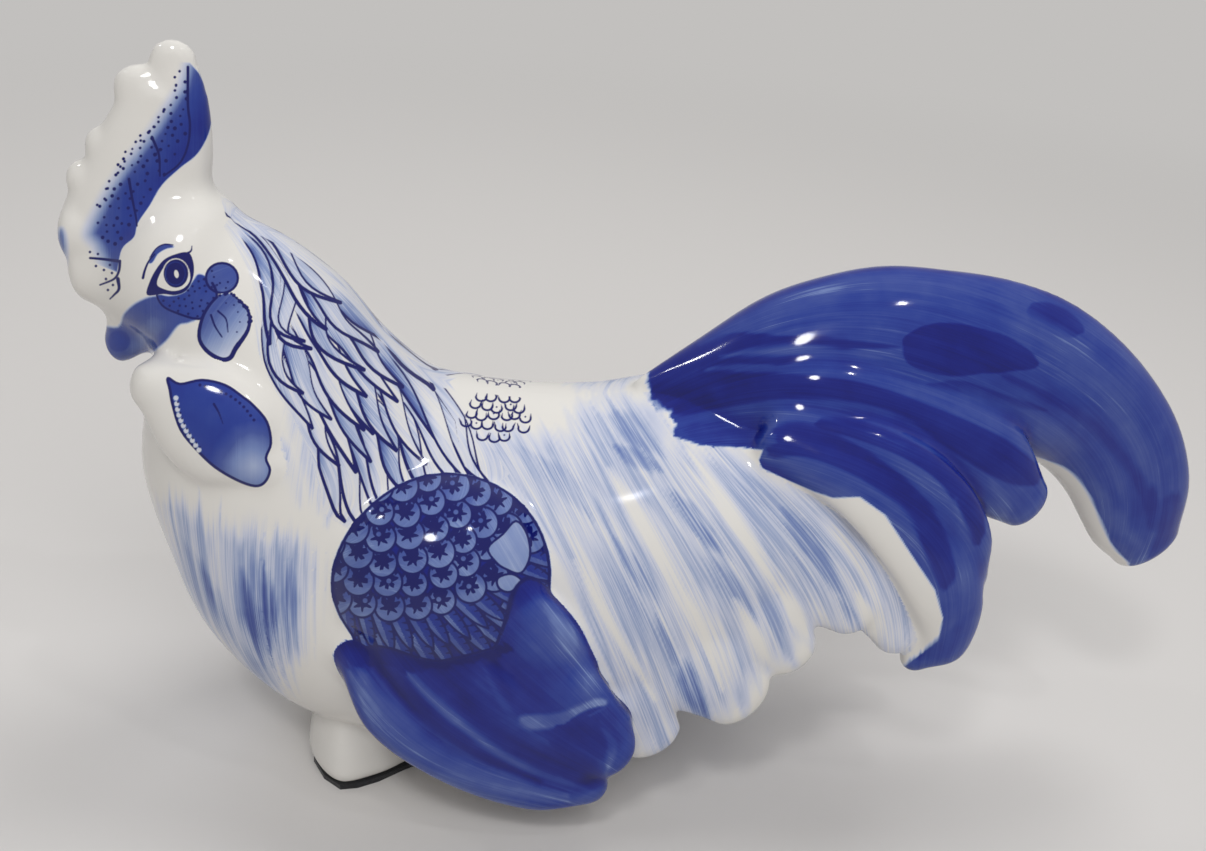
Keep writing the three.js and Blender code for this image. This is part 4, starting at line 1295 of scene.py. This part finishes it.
# A painted reflection, a pale band across the fold of the flights, with painted shade along its lower edge
FOLD_REFLECTION = [(520, 716), (560, 712), (598, 698), (606, 706), (570, 724), (530, 730)]
wash(wing_area, ring(FOLD_REFLECTION), 0.6, 6)
FOLD_SHADE = [(560, 728), (590, 712), (608, 706)]
stroke(wing_area, FOLD_SHADE, 3, 0.86, 0.4)
TIP = [(558, 726), (600, 716), (626, 733), (634, 757), (618, 778), (590, 782), (562, 773), (553, 750)]
wash(wing_area, ring(TIP), 0.86, 5, None, 2)
TIP_LIGHT = [(600, 722), (612, 745), (606, 775)]
stroke(wing_area, TIP_LIGHT, 5, 0.74, 0.4)
UNDER_TIP = [(572, 792), (612, 786), (636, 762), (646, 765), (628, 795), (600, 812), (575, 806)]
wash(wing_area, ring(UNDER_TIP), 0.76, 5)
FLIGHT_ROOTS = [
    (330, 644), (385, 646), (435, 655), (500, 645), (505, 655), (440, 668), (410, 672), (390, 664),
    (350, 664),
]
wash(wing_area, ring(FLIGHT_ROOTS), 0.92, 3, None, 2)
# Painted shade in the grooves between the flight feathers and painted highlight on their ridges
cobalt[flight_area] += 0.17 * pooling_and_relief_shading[flight_area]
chosen = soft(covert_depth - 1, 1.5)[wing_area]
cover = soft(wing_depth - 1.4, 1.6)[wing_area]
for layer, over, base in zip((cobalt, brush, ink), coverts, under):
    painted = layer[wing_area] * (1 - chosen) + over[wing_area] * chosen
    layer[wing_area] = base[wing_area] * (1 - cover) + painted * cover
rim = np.abs(wing_depth[wing_area] - 3.2) - 1.5
joint = np.maximum(np.abs(covert_depth[wing_area] - 1.5) - 1.2, 1.4 - wing_depth[wing_area])
ink[wing_area] = np.minimum(ink[wing_area], np.minimum(np.where(chosen > 0.5, rim, NO_INK), joint))

# Tail, a mid coat brushed along the feathers with darker strokes over it
TAIL_EDGE = [
    (640, 150), (655, 362), (648, 376), (652, 386), (650, 401), (662, 398), (667, 408), (673, 407),
    (670, 417), (676, 424), (673, 436), (700, 445), (730, 446), (763, 450), (759, 460), (762, 468),
    (790, 481), (815, 492), (833, 498), (860, 497), (885, 515), (913, 557), (935, 590), (943, 618),
    (938, 642), (897, 672), (897, 760), (1300, 760), (1300, 150),
]
feathers = on("tail_plume", "middle_feather", "covert_sickle", "lower_sickle")
tail_area = only(np.concatenate([feathers, on("body_shell")]), sheet[:, 0] > 640)
TAIL_GUIDES = [
    (0, [
        (650, 370), (700, 335), (760, 295), (880, 266), (1000, 275), (1110, 345), (1175, 420),
        (1183, 500), (1165, 555),
    ]),
    (60, [
        (655, 385), (713, 348), (787, 340), (860, 340), (930, 350), (1020, 378), (1087, 425),
        (1120, 490), (1130, 545),
    ]),
    (110, [(665, 410), (760, 395), (840, 395), (903, 410), (953, 430), (1000, 455), (1043, 490)]),
    (150, [(675, 432), (763, 440), (835, 430), (893, 445), (947, 480), (985, 530), (985, 595)]),
    (200, [(760, 465), (833, 490), (885, 517), (920, 570), (945, 620), (925, 665)]),
]
flow(np.union1d(feathers, tail_area[inside(sheet[tail_area], TAIL_EDGE)]), TAIL_GUIDES)
coat(tail_area, 0.69, soft(depth_in(sheet[tail_area], TAIL_EDGE), 2.0), 0.4)
# Each dark stroke has its tone, the softness and unevenness of its edge, and its outline
DARK_STROKES = [
    (0.88, 8, 1, [(650, 372), (690, 342), (706, 352), (702, 385), (690, 410), (660, 408)]),
    (0.88, 4, 1, [
        (703, 337), (753, 334), (807, 337), (853, 340), (905, 347), (853, 349), (820, 353), (800, 361),
        (777, 366), (740, 363), (700, 366),
    ]),
    (0.88, 5, 1, [
        (673, 397), (703, 373), (770, 373), (837, 378), (887, 390), (937, 410), (987, 430), (1020, 450),
        (1043, 474), (1028, 486), (987, 474), (937, 440), (903, 416), (853, 402), (787, 398),
        (720, 408), (677, 414),
    ]),
    (0.88, 2.5, 0.5, [
        (903, 345), (909, 333), (940, 323), (980, 329), (1013, 340), (1037, 360), (1031, 369),
        (987, 373), (953, 376), (920, 369), (906, 360),
    ]),
    (0.82, 3, 0.5, [
        (1028, 308), (1045, 302), (1068, 311), (1084, 328), (1072, 337), (1050, 334), (1033, 324),
    ]),
    (0.8, 3, 1, [(925, 384), (960, 381), (1000, 393), (1050, 411), (1000, 404), (950, 392)]),
    (0.76, 6, 1, [
        (1003, 377), (1053, 393), (1103, 427), (1137, 467), (1157, 493), (1162, 525), (1150, 529),
        (1140, 495), (1113, 455), (1080, 422), (1040, 398),
    ]),
    (0.8, 8, 1, [(1165, 500), (1180, 496), (1186, 530), (1172, 562), (1150, 558), (1160, 530)]),
    (0.9, 4, 1, [
        (827, 414), (870, 422), (920, 443), (957, 470), (982, 500), (986, 534), (973, 545), (960, 514),
        (937, 482), (903, 458), (853, 438), (818, 428),
    ]),
    (0.86, 5, 1, [
        (777, 424), (827, 430), (873, 453), (910, 483), (940, 523), (956, 567), (944, 592), (928, 560),
        (911, 527), (887, 499), (853, 475), (807, 457), (768, 456),
    ]),
    (0.74, 6, 1, [(690, 424), (730, 424), (772, 430), (770, 446), (730, 446), (690, 440)]),
    (0.74, 8, 1, [(900, 672), (940, 664), (962, 640), (972, 610), (952, 628), (925, 650)]),
]
for tone, edge, uneven, shape in DARK_STROKES:
    wash(tail_area, ring(shape), tone, edge, None, uneven)
TAIL_LIGHTS = [
    ([(720, 322), (800, 292), (900, 284), (990, 296)], 12, 0.63),
    ([(1000, 300), (1080, 360), (1130, 430), (1150, 480)], 13, 0.62),
    ([(720, 356), (790, 350), (880, 358)], 6, 0.62),
    ([(890, 384), (980, 404), (1060, 440), (1100, 500)], 11, 0.62),
    ([(740, 420), (830, 412), (900, 430)], 7, 0.66),
    ([(860, 480), (900, 515), (925, 560)], 7, 0.66),
    ([(955, 500), (968, 550), (962, 610)], 7, 0.64),
    ([(1090, 480), (1115, 520), (1140, 545)], 9, 0.61),
    ([(990, 480), (1005, 505), (1000, 530)], 6, 0.64),
    ([(700, 345), (760, 312), (830, 296)], 7, 0.68),
]
for path, half, tone in TAIL_LIGHTS:
    stroke(feathers, path, half, tone, 0.4, 1.5)
# Painted shade in the tail's grooves and painted highlight on its ridges, where the cobalt is strong
cobalt[feathers] += 0.1 * pooling_and_relief_shading[feathers] * soft(cobalt[feathers] - 0.4, 0.2)
plume = only(on("tail_plume"), sheet[:, 0] > 650)
crest = np.exp(-(points[plume, 1] / 3.5) ** 2) * np.clip(normals[plume, 2] * 2, 0, 1)
coat(plume, 0.82, crest * 0.7)
# The inside of the tail's arch is left white
arch = only(plume, sheet[:, 0] > 1000)
bare = soft(normals[arch] @ np.array([-0.8, 0, -0.6]) - 0.5, 0.12)
cobalt[arch] *= 1 - bare
brush[arch] *= 1 - bare

paint = {
    "cobalt": cobalt, "brush": brush, "ink": np.clip(ink, -4, 4), "along": along, "across": across,
}


def rims(faces):
    """The closed rims of an open patch, each as its points in the order that a cap needs"""
    ways = {}
    directed = set()
    for face in faces:
        directed.update(zip(face, face[1:] + face[:1]))
    for a, b in directed:
        if (b, a) not in directed:
            ways.setdefault(b, []).append(a)
    found = []
    while ways:
        start = next(iter(ways))
        rim, here = [start], ways[start].pop()
        if not ways[start]:
            del ways[start]
        while here != start:
            rim.append(here)
            after = ways[here].pop()
            if not ways[here]:
                del ways[here]
            here = after
        found.append(rim)
    return found


def cast_piece(name, number):
    """A closed piece of the skin, with its hidden joint faces capped"""
    mine = np.nonzero(owner == number)[0]
    faces = [loops[starts[k]:starts[k] + totals[k]].tolist() for k in mine]
    used, renamed = np.unique(np.concatenate(faces), return_inverse=True)
    flat = iter(renamed.tolist())
    faces = [[next(flat) for _ in face] for face in faces]
    outer = len(faces)
    own = points[used]
    extra = []
    for rim in rims(faces):
        tip = len(own) + len(extra)
        extra.append(own[rim].mean(0))
        faces += [[rim[k], rim[(k + 1) % len(rim)], tip] for k in range(len(rim))]
    every = np.vstack([own, extra]) if extra else own
    mesh = mesh_of(name, every, faces)
    mesh.polygons.foreach_set("use_smooth", np.ones(len(faces), bool))
    shading = np.zeros((len(mesh.loops), 3))
    count = sum(len(face) for face in faces[:outer])
    shading[:count] = normals[used][renamed]
    mesh.update()
    for k in range(outer, len(faces)):
        polygon = mesh.polygons[k]
        shading[polygon.loop_start:polygon.loop_start + 3] = polygon.normal
    for key, values in paint.items():
        layer = mesh.attributes.new(key, "FLOAT", "POINT")
        own_values = values[used]
        layer.data.foreach_set("value", np.concatenate([own_values, np.full(len(extra), own_values.mean())]))
    mesh.normals_split_custom_set(shading.tolist())
    return in_scene(name, mesh)


# Cobalt under a clear glaze, from bare porcelain through washes to full strength
COBALT = [
    (0.0, "#dfdcd6"), (0.14, "#c6cada"), (0.3, "#a1adca"), (0.46, "#7285b6"), (0.58, "#3f5196"),
    (0.68, "#22398e"), (0.78, "#112280"), (0.88, "#071575"), (1.0, "#060d5f"),
]
INK = "#0a105d"
# Cycles per millimetre of brush hairs and of the bands between them, along and across a stroke
HAIR_ALONG, HAIR_ACROSS = 0.03, 2.0
BAND_ALONG, BAND_ACROSS = 0.02, 0.3


def linear(code):
    """A hex sRGB colour as linear numbers, with full alpha"""
    channels = [int(code[k:k + 2], 16) / 255 for k in (1, 3, 5)]
    return [c / 12.92 if c <= 0.04045 else ((c + 0.055) / 1.055) ** 2.4 for c in channels] + [1.0]


def noded(block):
    """A material or world with an empty node tree"""
    block.use_nodes = True
    block.node_tree.nodes.clear()
    return block


def add(material, kind, settings=None, **links):
    """Adds a shader node with its settings, and with links or values for its inputs

    An input is given by its name, or by its number as i0. A node is linked by its first output.
    """
    node = material.node_tree.nodes.new("ShaderNode" + kind)
    for key, value in (settings or {}).items():
        setattr(node, key, value)
    for key, value in links.items():
        name = key.replace("_", " ").strip()
        socket = node.inputs[int(name[1:])] if name[0] == "i" and name[1:].isdigit() else node.inputs[name]
        if isinstance(value, bpy.types.Node):
            value = value.outputs[0]
        if isinstance(value, bpy.types.NodeSocket):
            material.node_tree.links.new(value, socket)
        else:
            socket.default_value = value
    return node


def painted_glaze(name):
    """Clear glaze over porcelain painted in cobalt

    The glaze is glass-smooth, with a slow wave from its own flow, and the cobalt under it breaks up along
    the brush strokes.
    """
    material = noded(bpy.data.materials.new(name))
    layer = {
        key: add(material, "Attribute", {"attribute_name": key}).outputs["Fac"]
        for key in ("cobalt", "brush", "ink", "along", "across")
    }
    where = add(material, "TexCoord").outputs["Object"]
    product = {"operation": "MULTIPLY"}
    hairs, bands = (
        add(material, "TexNoise", Scale=1.0, Detail=detail, Roughness=fineness, Vector=add(
            material, "CombineXYZ",
            X=add(material, "Math", product, i0=layer["along"], i1=lengthwise),
            Y=add(material, "Math", product, i0=layer["across"], i1=crosswise),
        ))
        for detail, fineness, lengthwise, crosswise in (
            (4.0, 0.65, HAIR_ALONG, HAIR_ACROSS), (2.0, 0.5, BAND_ALONG, BAND_ACROSS),
        )
    )
    both = add(material, "Math", {"operation": "ADD"}, i0=hairs, i1=bands)
    bare = add(material, "Math", {"operation": "MULTIPLY_ADD"}, i0=layer["cobalt"], i1=-0.84, i2=1.2)
    loaded = add(material, "Math", {"operation": "SUBTRACT"}, i0=both, i1=bare)
    streak = add(material, "MapRange", Value=loaded, From_Min=-0.2, From_Max=0.18, To_Min=0.12, To_Max=1.05)
    streaked = add(material, "Math", product, i0=layer["cobalt"], i1=streak)
    mix = {"data_type": "FLOAT"}
    dry = add(material, "Mix", mix, i0=layer["brush"], i2=layer["cobalt"], i3=streaked)
    pool = add(material, "TexNoise", Vector=where, Scale=70.0, Detail=3.0, Roughness=0.55)
    depth = add(material, "MapRange", Value=pool, To_Min=0.86, To_Max=1.14)
    combed = add(material, "MapRange", Value=both, From_Min=0.7, From_Max=1.3, To_Min=0.78, To_Max=1.22)
    uneven = add(material, "Math", product, i0=depth, i1=combed)
    evened = add(material, "Mix", mix, i0=layer["brush"], i2=depth, i3=uneven)
    clamped = {"operation": "MULTIPLY", "use_clamp": True}
    pooled = add(material, "Math", clamped, i0=dry, i1=evened)
    ramp = add(material, "ValToRGB", Fac=pooled)
    while len(ramp.color_ramp.elements) < len(COBALT):
        ramp.color_ramp.elements.new(0.5)
    for element, (place, code) in zip(ramp.color_ramp.elements, COBALT):
        element.position = place
        element.color = linear(code)
    drawn = add(material, "MapRange", Value=layer["ink"], From_Min=0.45, From_Max=-0.45)
    colour = add(material, "Mix", {"data_type": "RGBA"}, i0=drawn, i6=ramp, i7=linear(INK)).outputs[2]
    wave = add(material, "TexNoise", Vector=where, Scale=45.0, Detail=1.0, Roughness=0.4)
    bump = add(material, "Bump", Strength=0.12, Distance=0.0012, Height=wave)
    shader = add(material, "BsdfPrincipled", Base_Color=colour, Roughness=0.09, IOR=1.46, Normal=bump)
    add(material, "OutputMaterial", Surface=shader)
    return material


PORCELAINS = "white_porcelain", "washed_porcelain", "cobalt_porcelain"
GLAZES = {name: painted_glaze("glazed_" + name) for name in PORCELAINS}
SLOTS = {row["node"]: row["material_slot"] for row in frame["record"]["subparts"]}
for number, name in enumerate(PIECES):
    node = DIVISIONS[name][0] if name in DIVISIONS else name
    piece = cast_piece("painted_" + name, number)
    piece.data.materials.append(GLAZES[SLOTS[node]])
    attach(piece, "root")
    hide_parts(node)
bpy.data.meshes.remove(fine)

# Black wool felt under the foot, pressed from fibres, so it is matt with a faint fuzz. The fibres are
# drawn 0.4 mm thick, coarser than real ones, to show at all.
felt = noded(bpy.data.materials.new("pressed_felt"))
place = add(felt, "TexCoord").outputs["Object"]
fibres = add(felt, "TexNoise", Vector=place, Scale=2500.0, Detail=3.0, Distortion=1.5)
shade = add(felt, "ValToRGB", Fac=fibres)
shade.color_ramp.elements[0].color = linear("#0c0c0e")
shade.color_ramp.elements[1].color = linear("#2a2a2e")
fuzz = add(felt, "Bump", Strength=0.5, Distance=0.0004, Height=fibres)
wool = add(
    felt, "BsdfPrincipled", Base_Color=shade, Roughness=0.95, IOR=1.45, Sheen_Weight=0.2, Normal=fuzz,
)
add(felt, "OutputMaterial", Surface=wool)
pad = frame["nodes"]["felt_pad"]
for slot in pad.material_slots:
    slot.material = felt

# The camera that sees the sheet, at the photograph's viewing angle
lens = bpy.data.cameras.new("camera")
lens.sensor_fit = "HORIZONTAL"
lens.angle = 2 * math.atan(SHEET_X / SHEET_FOCUS)
lens.clip_end = 20
camera = in_scene("camera", lens)
turn = Matrix((SHEET_RIGHT, SHEET_UP, -SHEET_FORWARD)).transposed().to_4x4()
camera.matrix_world = Matrix.Translation(SHEET_EYE * MM) @ turn
bpy.context.scene.camera = camera


LAMPS_AIM = Vector((0, 0, 0.09))


def lamp(name, place, size, power, glints=True):
    """A round lamp that shines on the bird's middle"""
    light = bpy.data.lights.new(name, "AREA")
    light.shape = "DISK"
    light.size = size
    light.energy = power
    item = in_scene(name, light)
    item.location = place
    item.rotation_euler = (LAMPS_AIM - Vector(place)).to_track_quat("-Z", "Y").to_euler()
    item.visible_glossy = glints


# Soft light from large lamps that the glaze doesn't mirror, and small ones for its sharp glints
lamp("window", (0.2, -1.25, 1.3), 1.2, 12.5, glints=False)
lamp("ceiling", (0.5, 0.4, 1.8), 0.9, 10.5, glints=False)
lamp("rear_window", (-0.4, 1.2, 1.2), 1.0, 6, glints=False)
lamp("bulb", (-0.3, -0.8, 1.15), 0.2, 3.2)
lamp("far_bulb", (0.35, -0.5, 1.3), 0.05, 0.8)
lamp("side_bulb", (-0.9, 0.1, 0.9), 0.05, 0.5)

# The backdrop that the camera and the glaze see is paler than the light that the room gives
BACKDROP = "#c2c0be"


def seen(tree_owner):
    """Whether the camera, a glossy or a transmitted ray looks"""
    rays = add(tree_owner, "LightPath").outputs
    either = {"operation": "MAXIMUM"}
    direct = add(tree_owner, "Math", either, i0=rays["Is Camera Ray"], i1=rays["Is Glossy Ray"])
    return add(tree_owner, "Math", either, i0=direct, i1=rays["Is Transmission Ray"])


world = noded(bpy.data.worlds.new("room"))
room = add(world, "Background", Color=(0.8, 0.8, 0.82, 1), Strength=0.24)
far_wall = add(world, "Background", Color=linear(BACKDROP), Strength=1.0)
choice = add(world, "MixShader", i0=seen(world), i1=room, i2=far_wall)
add(world, "OutputWorld", Surface=choice)
bpy.context.scene.world = world
bpy.context.scene.view_settings.view_transform = "Standard"

# Matt studio paper, which goes over into the backdrop between 0.4 and 1.3 metres away
FLOOR_HALF = 4000
FADE_START, FADE_END = 0.4, 1.3
corners = [(x * FLOOR_HALF, y * FLOOR_HALF, 0) for x, y in ((-1, -1), (1, -1), (1, 1), (-1, 1))]
floor_mesh = mesh_of("floor", corners, [(0, 1, 2, 3)])
floor = in_scene("floor", floor_mesh)
matt = noded(bpy.data.materials.new("studio_paper"))
where = add(matt, "TexCoord").outputs["Object"]
reach = add(matt, "VectorMath", {"operation": "LENGTH"}, Vector=where).outputs["Value"]
smooth = {"interpolation_type": "SMOOTHSTEP"}
fade = add(matt, "MapRange", smooth, Value=reach, From_Min=FADE_START, From_Max=FADE_END)
shown = add(matt, "Math", {"operation": "MULTIPLY"}, i0=fade, i1=seen(matt))
paper = add(matt, "BsdfPrincipled", Base_Color=linear("#d5d2cf"), Roughness=0.9)
sweep = add(matt, "Emission", Color=linear(BACKDROP), Strength=1.0)
mixed = add(matt, "MixShader", i0=shown, i1=paper, i2=sweep)
add(matt, "OutputMaterial", Surface=mixed)
floor_mesh.materials.append(matt)
